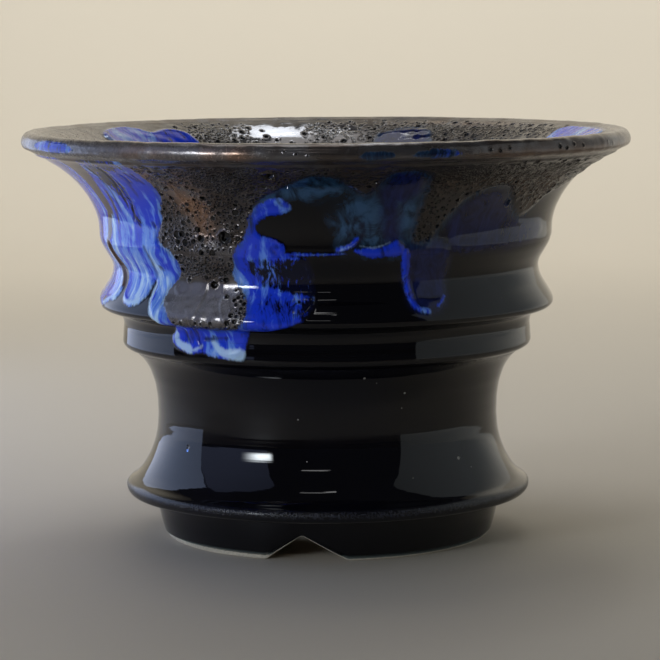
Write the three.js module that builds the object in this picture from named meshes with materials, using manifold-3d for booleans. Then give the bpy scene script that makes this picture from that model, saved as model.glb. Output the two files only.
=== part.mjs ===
// A hand-thrown ceramic plant pot: a clay wall with thrown ribs on a notched foot ring, under its
// coats of glaze. Lengths are in millimetres and +Z is up. The origin lies on the table, under the
// middle of the foot. Azimuths are in degrees, from the front (-Y) towards +X.
import * as THREE from 'three';
import { mergeVertices } from 'three/addons/utils/BufferGeometryUtils.js';
import { TessellateModifier } from 'three/addons/modifiers/TessellateModifier.js';
import Module from 'manifold-3d';

const wasm = await Module();
wasm.setup();

// Lip and flared mouth, all measured on the glazed surface
const potHeight = 88.5;
const rimRadius = 66;
const lipDepth = 4.3;
const lipRound = 2;
const lipThickness = 4;
const lipFall = 0.8;
const lipOverhang = 2.4;

// Shoulder, groove and rib below the mouth
const shoulderRadius = 49;
const shoulderHeight = 66.3;
const grooveRadius = 46.1;
const grooveHeight = 59;
const ribRadius = 49.4;
const ribHeight = 51.4;
const ribUnderside = 49.9;
const ribEdge = 1.8;

// Collar, waist and base flange
const collarRadius = 44.3;
const collarTaper = 0.3;
const collarTopHeight = 46.5;
const collarFootHeight = 43;
const collarUnderside = 41.2;
const collarEdge = 1.7;
const waistRadius = 37.1;
const waistHeight = 27;
const flangeRadius = 44.1;
const flangeHeight = 11.2;
const flangeTopHeight = 13.2;
const flangeBevel = 2;
const flangeEdge = 1.2;
const flangeUnderside = 9.4;

// Clay wall, floor and drain hole
const wallThickness = 3.6;
const floorThickness = 5.5;
const floorRound = 9;
const drainRadius = 7;

// Foot ring and its drainage notches
const footRadius = 35.8;
const footDraft = 0.2;
const footFlare = 1.7;
const footWidth = 5.8;
const bareFootHeight = 1.3;
const notchCount = 3;
const notchWidth = 17.4;
const notchHeight = 5.4;
const notchOffset = 0.9;
const notchAzimuth = -7.6;

// Coats of glaze, and the clearance kept between all pieces
const glazeThickness = 0.7;
const runThickness = 0.5;
const clearance = 0.3;

// Fineness of the facets
const turnSegments = 36;
const edgeSteps = 2;
const curveSteps = 3;
const flareSteps = 5;
const outlineSteps = 2;
const cutterEdgeLength = 6;
const cutterSplits = 16;

const coatDepth = glazeThickness + clearance;
const footTopRadius = footRadius + footFlare;
const lipUnderside = potHeight - lipDepth;
const floorTop = flangeUnderside + coatDepth + floorThickness;
const degree = Math.PI / 180;

const point = (radius, height) => new THREE.Vector2(radius, height);

// A straight stretch of an outline.
const line = (end) => () => [end];

// A curved stretch. Its two pulls are shares of its own width and height: how far it runs on in its
// first direction, and how far back from its end its last direction starts.
const curve = (end, firstPull, lastPull, steps = curveSteps) => (start) => {
  const span = end.clone().sub(start);
  const leave = start.clone().add(span.clone().multiply(point(...firstPull)));
  const arrive = end.clone().sub(span.multiply(point(...lastPull)));
  return new THREE.CubicBezierCurve(start, leave, arrive, end).getPoints(steps).slice(1);
};

function trace(start, ...stretches) {
  const points = [start];
  for (const stretch of stretches) {
    points.push(...stretch(points.at(-1)));
  }
  return points;
}

// The glazed surface, from the foot up the outside, over the lip and down the inside.
const footSide = trace(
  point(footRadius, 0),
  line(point(footRadius + footDraft, bareFootHeight)),
  curve(point(footTopRadius, flangeUnderside), [0.53, 0.3], [0, 0.31], edgeSteps),
);

const lowerWall = trace(
  footSide.at(-1),
  line(point(flangeRadius - flangeEdge, flangeUnderside)),
  curve(point(flangeRadius, flangeHeight), [0.75, 0.05], [0, 0.5], edgeSteps),
  curve(point(flangeRadius - flangeBevel, flangeTopHeight), [0, 0.45], [0.4, 0.35], edgeSteps),
  curve(point(waistRadius, waistHeight), [0.58, 0.22], [0, 0.47]),
  curve(point(collarRadius - collarEdge, collarUnderside), [0, 0.46], [0.73, 0.19]),
  curve(point(collarRadius + collarTaper, collarFootHeight), [0.6, 0.17], [0, 0.55], edgeSteps),
);

const upperWall = trace(
  lowerWall.at(-1),
  line(point(collarRadius, collarTopHeight)),
  curve(point(ribRadius - ribEdge, ribUnderside), [0, 0.6], [0.67, 0.09], edgeSteps),
  curve(point(ribRadius, ribHeight), [0.67, 0.13], [0, 0.53], edgeSteps),
  curve(point(grooveRadius, grooveHeight), [0.06, 0.29], [0, 0.4]),
  curve(point(shoulderRadius, shoulderHeight), [0, 0.34], [0.03, 0.42]),
  curve(point(rimRadius - lipOverhang, lipUnderside), [-0.02, 0.4], [0.59, 0.18], flareSteps),
);

const lipInside = point(rimRadius - lipThickness, potHeight - lipFall);
const lip = trace(
  upperWall.at(-1),
  curve(point(rimRadius, lipUnderside + lipRound), [0.67, 0.25], [0, 0.6], edgeSteps),
  curve(point(rimRadius - lipRound, potHeight), [0, 0.52], [0.55, 0], edgeSteps),
  curve(lipInside, [0.4, 0], [0.4, 0.62], edgeSteps),
);

// The inside keeps the wall's thickness behind the shoulder, the collar and the waist.
const wholeWall = wallThickness + 2 * coatDepth;
const insideWaist = waistRadius - wholeWall;
const insideFlare = trace(
  lipInside,
  curve(point(shoulderRadius - wholeWall, shoulderHeight), [0.49, 0.17], [0, 0.44], flareSteps),
);
const bareInside = trace(
  insideFlare.at(-1),
  curve(point(collarRadius - wholeWall, collarTopHeight), [0, 0.35], [0, 0.3]),
  curve(point(insideWaist, waistHeight), [0, 0.41], [0, 0.31]),
  curve(point(insideWaist - floorRound, floorTop + coatDepth), [0, 0.55], [0.55, 0]),
  line(point(drainRadius, floorTop + coatDepth)),
);

// Moves an open outline sideways: a positive distance goes to its left, into the clay.
function offset(points, distance) {
  return points.map((corner, i) => {
    const sides = [];
    for (const [from, to] of [[points[i - 1], corner], [corner, points[i + 1]]]) {
      if (from && to) {
        const along = to.clone().sub(from).normalize();
        sides.push(point(-along.y, along.x));
      }
    }
    const mitre = sides[0].clone().add(sides.at(-1)).normalize();
    return corner.clone().addScaledVector(mitre, distance / mitre.dot(sides[0]));
  });
}

// Draws back the first point of an outline, to leave room for the coat beside it.
function drawBack(points, distance) {
  const along = points[1].clone().sub(points[0]).setLength(distance);
  return [points[0].clone().add(along), ...points.slice(1)];
}

// Joins outlines that follow on from each other.
const chain = (first, ...others) => [...first, ...others.flatMap((next) => next.slice(1))];

// The closed outline of a coat that lies between two depths below the glazed surface.
const coat = (points, outer, inner) => [...offset(points, outer), ...offset(points, inner).reverse()];

function solidOf(geometry) {
  geometry.deleteAttribute('normal');
  geometry.deleteAttribute('uv');
  const merged = mergeVertices(geometry);
  return new wasm.Manifold(new wasm.Mesh({
    numProp: 3,
    vertProperties: new Float32Array(merged.attributes.position.array),
    triVerts: new Uint32Array(merged.index.array),
  }));
}

function geometryOf(solid) {
  const { vertProperties, triVerts } = solid.getMesh();
  const geometry = new THREE.BufferGeometry();
  geometry.setAttribute('position', new THREE.BufferAttribute(vertProperties, 3));
  geometry.setIndex(new THREE.BufferAttribute(triVerts, 1));
  geometry.computeVertexNormals();
  return geometry;
}

// Turns a closed outline of radii and heights round the pot's axis.
function turned(outline) {
  const geometry = new THREE.LatheGeometry([...outline, outline[0]], turnSegments);
  return solidOf(geometry.rotateX(90 * degree));
}

function subtractAll(solid, cutters) {
  return cutters.reduce((rest, tool) => rest.subtract(tool), solid);
}

// Clay
function clayBody() {
  const surface = offset(chain(lowerWall, upperWall, lip, insideFlare, bareInside), coatDepth);
  return turned([point(drainRadius, flangeUnderside + coatDepth), ...surface]);
}

// Each notch is an upturned V, cut outwards through one side of the foot.
function notches() {
  const apex = point(-notchOffset, notchHeight);
  const corners = [-1, 1].map((side) => apex.clone().lerp(point((side * notchWidth) / 2, 0), 1.5));
  const shape = new THREE.Shape([...corners, apex]);
  const tools = [];
  for (let i = 0; i < notchCount; i += 1) {
    const azimuth = notchAzimuth + (i * 360) / notchCount;
    const block = new THREE.ExtrudeGeometry(shape, { depth: footTopRadius + clearance, bevelEnabled: false });
    tools.push(solidOf(block.rotateX(90 * degree).rotateZ(azimuth * degree)));
  }
  return tools;
}

function footRing() {
  const clayRadius = footRadius - coatDepth;
  const top = flangeUnderside + coatDepth - clearance;
  const side = offset(footSide, coatDepth).slice(1, -1);
  const ring = turned([
    point(clayRadius, 0),
    ...side,
    point(footTopRadius - coatDepth, top),
    point(clayRadius - footWidth, top),
    point(clayRadius - footWidth, 0),
  ]);
  return subtractAll(ring, notches());
}

// Coats that go all the way round
function blackGlaze() {
  const outside = chain(footSide.slice(1), lowerWall, upperWall);
  return subtractAll(turned(coat(outside, 0, glazeThickness)), notches());
}

const rimGlaze = () => turned(coat(drawBack(lip, clearance), 0, glazeThickness));
const innerGlaze = () => turned(coat(drawBack(insideFlare, clearance), 0, glazeThickness));

// Runs and patches that lie over the black glaze. Each outline is a list of [azimuth, level] points.
// Level 0 is the foot of the collar, 1 the edge of the rib, 2 the shoulder and 3 the lip's underside.
const levelHeights = [collarFootHeight, ribHeight, shoulderHeight, lipUnderside];

const outlines = {
  crater_glaze_front: [
    [-42, 2.94], [-20, 2.95], [10, 2.95], [45, 2.95], [74, 2.94], [79, 2.75], [70, 2.45], [56, 2.6],
    [45, 2.34], [37, 2.62], [27, 2.66], [4, 2.78], [-9, 2.66], [-15, 2.56], [-17.4, 2.28], [-19.6, 1.92],
    [-21.8, 1.5], [-20.5, 1.15], [-24, 0.96], [-32, 0.94], [-40, 1], [-39.3, 1.14], [-41.5, 1.44],
    [-40.2, 1.95], [-43.6, 2.25], [-42.7, 2.5], [-40.5, 2.8],
  ],
  blue_run_left: [
    [-41, 2.93], [-75, 2.94], [-104, 2.92], [-109, 2.5], [-113, 1.9], [-102, 1.35], [-88, 1.15],
    [-76, 1.04], [-60, 1.02], [-45, 0.97], [-38, 1], [-37, 1.5], [-38, 2.2], [-39, 2.7],
  ],
  blue_drip: [
    [-45.5, 0.85], [-46.8, 0.5], [-45.5, 0.24], [-41, 0.1], [-31, 0.08], [-23.6, 0.16], [-20.8, 0.42],
    [-19.6, 0.75], [-22, 0.84], [-32, 0.8],
  ],
  blue_run_centre: [
    [-18, 1.8], [-9, 1.86], [-3.5, 1.83], [-5, 1.6], [-2.6, 1.32], [-4, 1.12], [-8.7, 0.96], [-15.6, 0.92],
    [-20, 0.98], [-21, 1.4],
  ],
  blue_swirl: [
    [-18, 1.95], [-18.5, 2.2], [-16, 2.44], [-11, 2.55], [-4.5, 2.59], [2, 2.6], [6.8, 2.68], [16, 2.68],
    [18, 2.4], [17, 2.1], [12.7, 1.93], [5.5, 1.93], [3, 2.2], [-1, 2.42], [-8, 2.42], [-12.5, 2.28],
    [-13.5, 2.05], [-15.5, 1.91],
  ],
  blue_run_right: [
    [19, 2.64], [19, 2.3], [19.4, 1.7], [20.4, 1.28], [24, 1.13], [28.9, 1.17], [31.4, 1.4], [29, 2.05],
    [28.3, 2.37], [29.4, 2.62], [24, 2.66],
  ],
  blue_patch_right: [
    [33, 2.5], [38, 2.58], [47, 2.42], [56, 2.55], [66, 2.38], [69, 2.22], [55, 2.1], [41, 2.12], [33, 2.3],
  ],
  crater_glaze_back: [
    [88, 2.94], [115, 2.95], [150, 2.95], [180, 2.95], [205, 2.94], [206, 2.6], [190, 2.45], [176, 2.55],
    [168, 2.05], [158, 1.5], [150, 1.5], [146, 2.1], [140, 2.5], [120, 2.62], [98, 2.5], [86, 2.7],
  ],
  blue_run_back_right: [
    [96, 2.42], [107, 2.5], [120, 2.52], [124, 2.1], [121, 1.5], [114, 1.12], [104, 1.1], [99, 1.6],
  ],
  blue_run_back_left: [
    [208, 2.92], [222, 2.94], [240, 2.93], [244, 2.4], [240, 1.8], [230, 1.2], [220, 1.15], [210, 1.55],
    [209, 2.2],
  ],
};

function heightAt(level) {
  const below = Math.min(Math.floor(level), levelHeights.length - 2);
  return THREE.MathUtils.lerp(levelHeights[below], levelHeights[below + 1], level - below);
}

// The smooth closed outline of a run, unrolled flat at the shoulder's radius and grown by a margin.
function unrolled(name, margin) {
  const corners = outlines[name].map(([azimuth, level]) => (
    new THREE.Vector3(azimuth * degree * shoulderRadius, heightAt(level), 0)
  ));
  const loop = new THREE.CatmullRomCurve3(corners, true).getPoints(corners.length * outlineSteps);
  const points = loop.slice(1).map(({ x, y }) => point(x, y));
  if (THREE.ShapeUtils.isClockWise(points)) points.reverse();
  return offset([points.at(-1), ...points, points[0]], -margin).slice(1, -1);
}

// A block with a run's outline, bent round the pot's axis and reaching through the shell of the runs.
function cutter(name, margin) {
  const shape = new THREE.Shape(unrolled(name, margin));
  const slab = new THREE.ExtrudeGeometry(shape, { depth: 1, bevelEnabled: false });
  const geometry = new TessellateModifier(cutterEdgeLength, cutterSplits).modify(slab);
  const spots = geometry.attributes.position;
  for (let i = 0; i < spots.count; i += 1) {
    const azimuth = spots.getX(i) / shoulderRadius;
    const radius = spots.getZ(i) > 0.5 ? rimRadius * 1.1 : insideWaist;
    spots.setXYZ(i, radius * Math.sin(azimuth), -radius * Math.cos(azimuth), spots.getY(i));
  }
  return solidOf(geometry);
}

const underLip = drawBack([...upperWall].reverse(), clearance).reverse();
const runShell = turned(coat(underLip, -clearance - runThickness, -clearance));

// A run takes what its outline covers of the shell, and keeps clear of the runs laid before it.
function glazeRun(name) {
  const names = Object.keys(outlines);
  const earlier = names.slice(0, names.indexOf(name));
  const piece = runShell.intersect(cutter(name, 0));
  return subtractAll(piece, earlier.map((other) => cutter(other, clearance)));
}

// Materials
const finish = (color, roughness, metalness) => ({ color, roughness, metalness });
const bareClay = finish(0x8f8577, 0.85, 0);
const blackGloss = finish(0x07070d, 0.08, 0);
const bronzeSheen = finish(0x4a443f, 0.35, 0.5);
const craterCrust = finish(0x4b4038, 0.45, 0.35);
const runningBlue = finish(0x2a3fc4, 0.15, 0);

const pot = new THREE.Group();

function add(name, solid, look) {
  const mesh = new THREE.Mesh(geometryOf(solid), new THREE.MeshStandardMaterial(look));
  mesh.name = name;
  pot.add(mesh);
}

add('clay_body', clayBody(), bareClay);
add('foot_ring', footRing(), bareClay);
add('black_glaze', blackGlaze(), blackGloss);
add('rim_glaze', rimGlaze(), bronzeSheen);
add('inner_glaze', innerGlaze(), bronzeSheen);
for (const name of Object.keys(outlines)) {
  add(name, glazeRun(name), name.startsWith('crater') ? craterCrust : runningBlue);
}

export default pot;
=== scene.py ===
"""A hand-thrown ceramic plant pot under black, blue and metallic crater glazes, made to be edited from
a sidebar panel. Places on the pot are azimuths in degrees, 0 at the front and growing to the right,
and heights in millimetres above the table."""
import math
from functools import partial

import bpy
import numpy as np
from bpy.props import FloatProperty, FloatVectorProperty, IntProperty, PointerProperty
from mathutils import Matrix, Vector
from mathutils.kdtree import KDTree


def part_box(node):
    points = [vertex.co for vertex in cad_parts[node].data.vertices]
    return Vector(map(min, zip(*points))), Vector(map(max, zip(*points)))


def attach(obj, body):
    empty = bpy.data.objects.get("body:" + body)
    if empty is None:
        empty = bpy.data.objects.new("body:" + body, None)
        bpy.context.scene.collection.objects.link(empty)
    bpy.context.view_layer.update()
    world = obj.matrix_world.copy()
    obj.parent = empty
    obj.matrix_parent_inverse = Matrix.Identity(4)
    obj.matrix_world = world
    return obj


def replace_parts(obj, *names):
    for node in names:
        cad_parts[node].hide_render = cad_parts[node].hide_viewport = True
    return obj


bl_info = {
    "name": "Glazed plant pot",
    "version": (1, 0, 0),
    "blender": (4, 5, 0),
    "location": "View3D > Sidebar > Plant pot",
    "description": "Builds a thrown plant pot with running glazes",
    "category": "Add Mesh",
}

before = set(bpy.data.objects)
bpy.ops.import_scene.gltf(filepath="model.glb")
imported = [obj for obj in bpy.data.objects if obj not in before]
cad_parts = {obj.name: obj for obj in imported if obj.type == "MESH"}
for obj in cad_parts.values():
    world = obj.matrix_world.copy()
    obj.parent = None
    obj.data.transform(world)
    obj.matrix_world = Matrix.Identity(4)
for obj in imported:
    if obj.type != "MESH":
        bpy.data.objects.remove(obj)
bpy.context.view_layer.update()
MM = 0.001
RIM_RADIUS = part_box("rim_glaze")[1].x
POT_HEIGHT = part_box("rim_glaze")[1].z
# In millimetres: half the gap between two skins, and the spacing of a profile's points
SEAM_GAP = 0.01
SURFACE_STEP = 0.05
SHARP_ANGLE = math.radians(40)


def length(name, description, millimetres):
    return FloatProperty(name=name, description=description, default=millimetres * MM,
                         unit="LENGTH", subtype="DISTANCE", precision=4)


def colour(name, description, red, green, blue):
    return FloatVectorProperty(name=name, description=description, subtype="COLOR", size=3,
                               min=0, max=1, default=(red, green, blue))


class PotShape(bpy.types.PropertyGroup):
    """Sizes of the glazed surface, from the foot to the lip."""
    pot_height: length("Pot height", "Top of the lip", POT_HEIGHT / MM)
    rim_radius: length("Rim radius", "Outer radius of the lip", RIM_RADIUS / MM)
    lip_depth: length("Lip depth", "Height of the lip's bead", 4.3)
    lip_round: length("Lip round", "Roundness of the lip's outer edge", 2)
    lip_thickness: length("Lip thickness", "From the lip's outer edge to its inner one", 4)
    lip_fall: length("Lip fall", "How far the lip's inner edge lies below its top", 0.8)
    lip_overhang: length("Lip overhang", "How far the bead stands out over the flare", 2.4)
    shoulder_radius: length("Shoulder radius", "Radius where the flare starts", 49)
    shoulder_height: length("Shoulder height", "Height where the flare starts", 66.3)
    crease_height: length("Crease height", "Height of the crease under the shoulder", 64.9)
    groove_radius: length("Groove radius", "Radius of the groove below the shoulder", 46.1)
    groove_height: length("Groove height", "Height of the groove", 59)
    rib_radius: length("Rib radius", "Radius of the thrown rib", 49.4)
    rib_height: length("Rib height", "Height of the rib's edge", 51.4)
    rib_underside: length("Rib underside", "Height of the rib's underside", 49.9)
    rib_edge: length("Rib edge", "Width of the rib's rounded edge", 1.8)
    collar_radius: length("Collar radius", "Radius of the collar's top", 44.3)
    collar_taper: length("Collar taper", "How much wider the collar's foot is", 0.3)
    collar_top_height: length("Collar top", "Height of the collar's top", 46.5)
    collar_foot_height: length("Collar foot", "Height of the collar's foot", 43)
    collar_underside: length("Collar underside", "Height where the waist meets the collar", 41.2)
    collar_edge: length("Collar edge", "Width of the collar's lower edge", 1.7)
    waist_radius: length("Waist radius", "Radius of the waist", 37.1)
    waist_height: length("Waist height", "Height of the waist", 27)
    flange_radius: length("Flange radius", "Radius of the base flange", 44.1)
    flange_height: length("Flange height", "Height of the flange's edge", 11.2)
    flange_top: length("Flange top", "Height of the flange's upper edge", 13.2)
    flange_bevel: length("Flange bevel", "Width of the flange's upper edge", 2)
    flange_edge: length("Flange edge", "Width of the flange's lower edge", 1.2)
    flange_underside: length("Flange underside", "Height of the flange's underside", 9.4)
    corner_softness: length("Corner softness", "How far the glaze rounds each corner", 0.22)


class WallSizes(bpy.types.PropertyGroup):
    """Thicknesses of the clay, the floor and the coats."""
    wall_thickness: length("Wall thickness", "Thickness of the clay wall", 3.6)
    floor_thickness: length("Floor thickness", "Thickness of the clay floor", 5.5)
    floor_round: length("Floor round", "Radius between the wall and the floor", 9)
    drain_radius: length("Drain radius", "Radius of the drain hole", 7)
    drain_bevel: length("Drain bevel", "Roundness of the drain hole's edges", 0.8)
    glaze_thickness: length("Glaze thickness", "Thickness of the coat of glaze", 0.7)
    clearance: length("Clearance", "Gap between the glaze and the clay", 0.3)
    ring_spacing: length("Ring spacing", "Distance between throwing rings", 5.2)
    ring_depth: length("Ring depth", "Depth of the throwing rings inside", 0.22)


class FootSizes(bpy.types.PropertyGroup):
    """Sizes of the foot ring and its drainage notches."""
    foot_radius: length("Foot radius", "Outer radius of the foot at the table", 35.8)
    foot_draft: length("Foot draft", "How much wider the glaze's lower edge is", 0.2)
    foot_flare: length("Foot flare", "How much wider the foot's top is", 1.7)
    foot_width: length("Foot width", "Width of the foot ring", 5.8)
    bare_height: length("Bare height", "Height of the bare clay edge", 1.3)
    notch_width: length("Notch width", "Width of a notch at the table", 17.4)
    notch_height: length("Notch height", "Height of a notch", 5.4)
    notch_offset: length("Notch offset", "How far a notch's top leans sideways", 0.9)
    notch_round: length("Notch round", "Roundness of a notch's top", 0.5)
    notch_count: IntProperty(name="Notches", description="How many notches there are",
                             default=3, min=0, max=6)
    notch_azimuth: FloatProperty(name="Notch azimuth", description="Direction of the front notch",
                                 default=math.radians(-7.6), subtype="ANGLE")


class GlazeSettings(bpy.types.PropertyGroup):
    """Thickness and colours of the runs."""
    run_thickness: length("Run thickness", "Thickness of a blue run", 0.34)
    run_bead: length("Run bead", "Height of the bead along a run's edge", 0.1)
    crust_thickness: length("Crust thickness", "Thickness of the crater glaze", 0.3)
    crust_relief: length("Crust relief", "Unevenness of the crater glaze", 0.05)
    wheel_relief: length("Wheel relief", "Depth of the wheel marks under the glaze", 0.012)
    black: colour("Black", "The black glaze", 0.0015, 0.0015, 0.0030)
    navy: colour("Navy", "Thin blue over black", 0.009, 0.015, 0.085)
    teal: colour("Teal", "Green-grey haze between blue and crater glaze", 0.022, 0.062, 0.130)
    royal: colour("Royal blue", "Deep blue where the run is thick", 0.012, 0.050, 0.72)
    periwinkle: colour("Periwinkle", "Milky blue of the streaks", 0.14, 0.31, 0.88)
    # This pale blue also paints a highlight along the drip's lower edge.
    pale: colour("Pale blue", "Milky edges of the drips", 0.52, 0.74, 1.0)
    rust: colour("Rust", "Brown streaks, where the glaze ran thin", 0.065, 0.028, 0.016)
    bronze: colour("Bronze", "Grey metal of the crater glaze", 0.165, 0.16, 0.165)
    umber: colour("Umber", "Brown of the crater glaze", 0.070, 0.046, 0.032)
    copper: colour("Copper", "Copper patches of the crater glaze", 0.30, 0.175, 0.11)
    clay: colour("Clay", "Bare fired clay", 0.42, 0.38, 0.31)
    random_seed: IntProperty(name="Seed", description="Changes the scatter of the craters",
                             default=7, min=0)


class StageSettings(bpy.types.PropertyGroup):
    """Floor and backdrop colour, and the camera's distance and height."""
    floor_colour: colour("Floor", "Plain floor and backdrop", 0.60, 0.54, 0.45)
    camera_distance: length("Camera distance", "From the pot's axis to the camera", 587.6)
    camera_height: length("Camera height", "Height of the camera", 114.7)


class Sizes:
    """The lengths of a property group, in millimetres."""

    def __init__(self, group):
        self.group = group

    def __getattr__(self, name):
        return getattr(self.group, name) / MM


# Profile of the glazed surface

def bezier(start, end, leave, arrive, steps=60):
    """A curved stretch, whose pulls are shares of its own width and height."""
    start, end = np.array(start, float), np.array(end, float)
    span = end - start
    first = start + span * leave
    last = end - span * arrive
    t = np.linspace(0, 1, steps + 1)[1:, None]
    return (1 - t) ** 3 * start + 3 * (1 - t) ** 2 * t * first + 3 * (1 - t) * t * t * last + t ** 3 * end


class Outline:
    """Radii and heights of a profile in millimetres, drawn stretch by stretch."""

    def __init__(self, radius, height):
        self.points = [np.array([[radius, height]], float)]
        self.marks = {}

    def end(self):
        return self.points[-1][-1]

    def line(self, radius, height):
        start = self.end()
        count = max(2, int(np.hypot(radius - start[0], height - start[1]) / SURFACE_STEP))
        t = np.linspace(0, 1, count + 1)[1:, None]
        self.points.append(start + (np.array([radius, height]) - start) * t)
        return self

    def curve(self, radius, height, leave, arrive):
        self.points.append(bezier(self.end(), (radius, height), leave, arrive))
        return self

    def mark(self, name):
        self.marks[name] = tuple(self.end())
        return self


def stations(points):
    """Distance along a profile, at each of its points."""
    steps = np.hypot(*np.diff(points, axis=0).T)
    return np.concatenate([[0], np.cumsum(steps)])


class Profile:
    """An even, softened profile. A station is a distance along it, in millimetres."""

    def __init__(self, outline, softness):
        rough = np.vstack(outline.points)
        along = stations(rough)
        count = int(along[-1] / SURFACE_STEP)
        even = np.linspace(0, along[-1], count + 1)
        points = np.stack([np.interp(even, along, rough[:, i]) for i in (0, 1)], axis=1)
        reach = int(3 * softness / SURFACE_STEP) + 1
        weights = np.exp(-0.5 * (np.arange(-reach, reach + 1) * SURFACE_STEP / softness) ** 2)
        weights /= weights.sum()
        padded = np.vstack([2 * points[0] - points[reach:0:-1], points,
                            2 * points[-1] - points[-2:-reach - 2:-1]])
        self.points = np.stack([np.convolve(padded[:, i], weights, "valid") for i in (0, 1)], axis=1)
        self.along = stations(self.points)
        tangent = np.gradient(self.points, self.along, axis=0)
        tangent /= np.hypot(*tangent.T)[:, None]
        self.normals = np.stack([tangent[:, 1], -tangent[:, 0]], axis=1)
        self.marks = {}
        for name, spot in outline.marks.items():
            gap = np.hypot(*(self.points - spot).T)
            self.marks[name] = float(self.along[gap.argmin()])

    def at(self, station):
        return np.stack([np.interp(station, self.along, self.points[:, i]) for i in (0, 1)], axis=-1)

    def normal(self, station):
        found = np.stack([np.interp(station, self.along, self.normals[:, i]) for i in (0, 1)], axis=-1)
        return found / np.linalg.norm(found, axis=-1, keepdims=True)

    def place(self, station, azimuth):
        """A point of the surface, in millimetres."""
        radius, level = self.at(station)
        angle = math.radians(azimuth)
        return np.array([radius * math.sin(angle), -radius * math.cos(angle), level])

    def between(self, first, last, step):
        start, end = self.marks[first], self.marks[last]
        return np.linspace(start, end, max(2, round(abs(end - start) / step)) + 1)

    def station_of_height(self, height, first, last):
        inside = (self.along >= self.marks[first]) & (self.along <= self.marks[last])
        heights, along = self.points[inside, 1], self.along[inside]
        order = np.argsort(heights)
        return np.interp(height, heights[order], along[order])


def glazed_surface(shape, walls, foot):
    """The whole profile, from the foot up the outside, over the lip and down to the drain hole."""
    s = Sizes(shape)
    w = Sizes(walls)
    f = Sizes(foot)
    depth = w.glaze_thickness + w.clearance
    whole_wall = w.wall_thickness + 2 * depth
    foot_top = f.foot_radius + f.foot_flare
    lip_underside = s.pot_height - s.lip_depth
    floor_top = s.flange_underside + depth + w.floor_thickness
    waist_inside = s.waist_radius - whole_wall
    outline = Outline(f.foot_radius, 0)
    outline.line(f.foot_radius + f.foot_draft, f.bare_height).mark("foot_glaze")
    outline.curve(foot_top, s.flange_underside, (0.53, 0.3), (0, 0.31)).mark("foot_top")
    outline.line(s.flange_radius - s.flange_edge, s.flange_underside)
    outline.curve(s.flange_radius, s.flange_height, (0.75, 0.05), (0, 0.5)).mark("flange")
    outline.curve(s.flange_radius - s.flange_bevel, s.flange_top, (0, 0.45), (0.4, 0.35))
    outline.mark("waist_foot")
    outline.curve(s.waist_radius, s.waist_height, (0.58, 0.22), (0, 0.47))
    outline.curve(s.collar_radius - s.collar_edge, s.collar_underside, (0, 0.46), (0.73, 0.19))
    outline.mark("collar_underside")
    outline.curve(s.collar_radius + s.collar_taper, s.collar_foot_height, (0.6, 0.17), (0, 0.55))
    outline.line(s.collar_radius, s.collar_top_height).mark("collar_top")
    outline.curve(s.rib_radius - s.rib_edge, s.rib_underside, (0, 0.6), (0.67, 0.09))
    outline.curve(s.rib_radius, s.rib_height, (0.67, 0.13), (0, 0.53))
    outline.curve(s.groove_radius, s.groove_height, (0.06, 0.29), (0, 0.4)).mark("groove")
    outline.curve(s.shoulder_radius, s.shoulder_height, (0, 0.34), (0.03, 0.42)).mark("shoulder")
    outline.curve(s.rim_radius - s.lip_overhang, lip_underside, (-0.02, 0.4), (0.59, 0.18))
    outline.mark("lip_underside")
    outline.curve(s.rim_radius, lip_underside + s.lip_round, (0.67, 0.25), (0, 0.6))
    outline.curve(s.rim_radius - s.lip_round, s.pot_height, (0, 0.52), (0.55, 0)).mark("lip_top")
    outline.curve(s.rim_radius - s.lip_thickness, s.pot_height - s.lip_fall, (0.4, 0), (0.4, 0.62))
    outline.mark("lip_inside")
    outline.curve(s.shoulder_radius - whole_wall, s.shoulder_height, (0.49, 0.17), (0, 0.44))
    outline.mark("mouth_foot")
    outline.curve(s.collar_radius - whole_wall, s.collar_top_height, (0, 0.35), (0, 0.3))
    outline.curve(waist_inside, s.waist_height, (0, 0.41), (0, 0.31))
    outline.curve(waist_inside - w.floor_round, floor_top + depth, (0, 0.55), (0.55, 0))
    outline.line(w.drain_radius, floor_top + depth).mark("drain")
    profile = Profile(outline, s.corner_softness)
    profile.marks["crease"] = float(profile.station_of_height(s.crease_height, "groove", "shoulder"))
    return profile


def pot_profile():
    scene = bpy.context.scene
    return glazed_surface(scene.pot_shape, scene.pot_walls, scene.pot_foot)


# Turned skins

def new_object(name, data):
    thing = bpy.data.objects.new(name, data)
    bpy.context.scene.collection.objects.link(thing)
    return thing


def select_only(*items):
    """Selects these objects and no others, and makes the first one active."""
    for item in list(bpy.context.selected_objects):
        item.select_set(False)
    for item in items:
        item.select_set(True)
    bpy.context.view_layer.objects.active = items[0]


def store(mesh, layers):
    """Keeps a value at each point of a mesh, for each name."""
    for name, values in layers.items():
        mesh.attributes.new(name, "FLOAT", "POINT").data.foreach_set("value", np.float32(values))


def turned(name, loop, attributes, sectors):
    """Turns a closed loop of radii and heights round the pot's axis, in sectors of their own fineness.
    The loop's attributes stay with its points."""
    parts = []
    for start, end, steps in sectors:
        angle = math.radians(start)
        mesh = bpy.data.meshes.new(name)
        corners = [(r * math.sin(angle) * MM, -r * math.cos(angle) * MM, z * MM) for r, z in loop]
        mesh.from_pydata(corners, [(i, (i + 1) % len(loop)) for i in range(len(loop))], [])
        store(mesh, attributes)
        part = new_object(name, mesh)
        select_only(part)
        turn = part.modifiers.new("turn", "SCREW")
        turn.angle = math.radians(end - start)
        turn.steps = turn.render_steps = steps
        bpy.ops.object.modifier_apply(modifier=turn.name)
        parts.append(part)
    select_only(*parts)
    if len(parts) > 1:
        bpy.ops.object.join()
    bpy.ops.object.mode_set(mode="EDIT")
    bpy.ops.mesh.select_all(action="SELECT")
    bpy.ops.mesh.remove_doubles(threshold=MM * 0.001)
    bpy.ops.mesh.normals_make_consistent(inside=False)
    bpy.ops.object.mode_set(mode="OBJECT")
    return parts[0]


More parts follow.
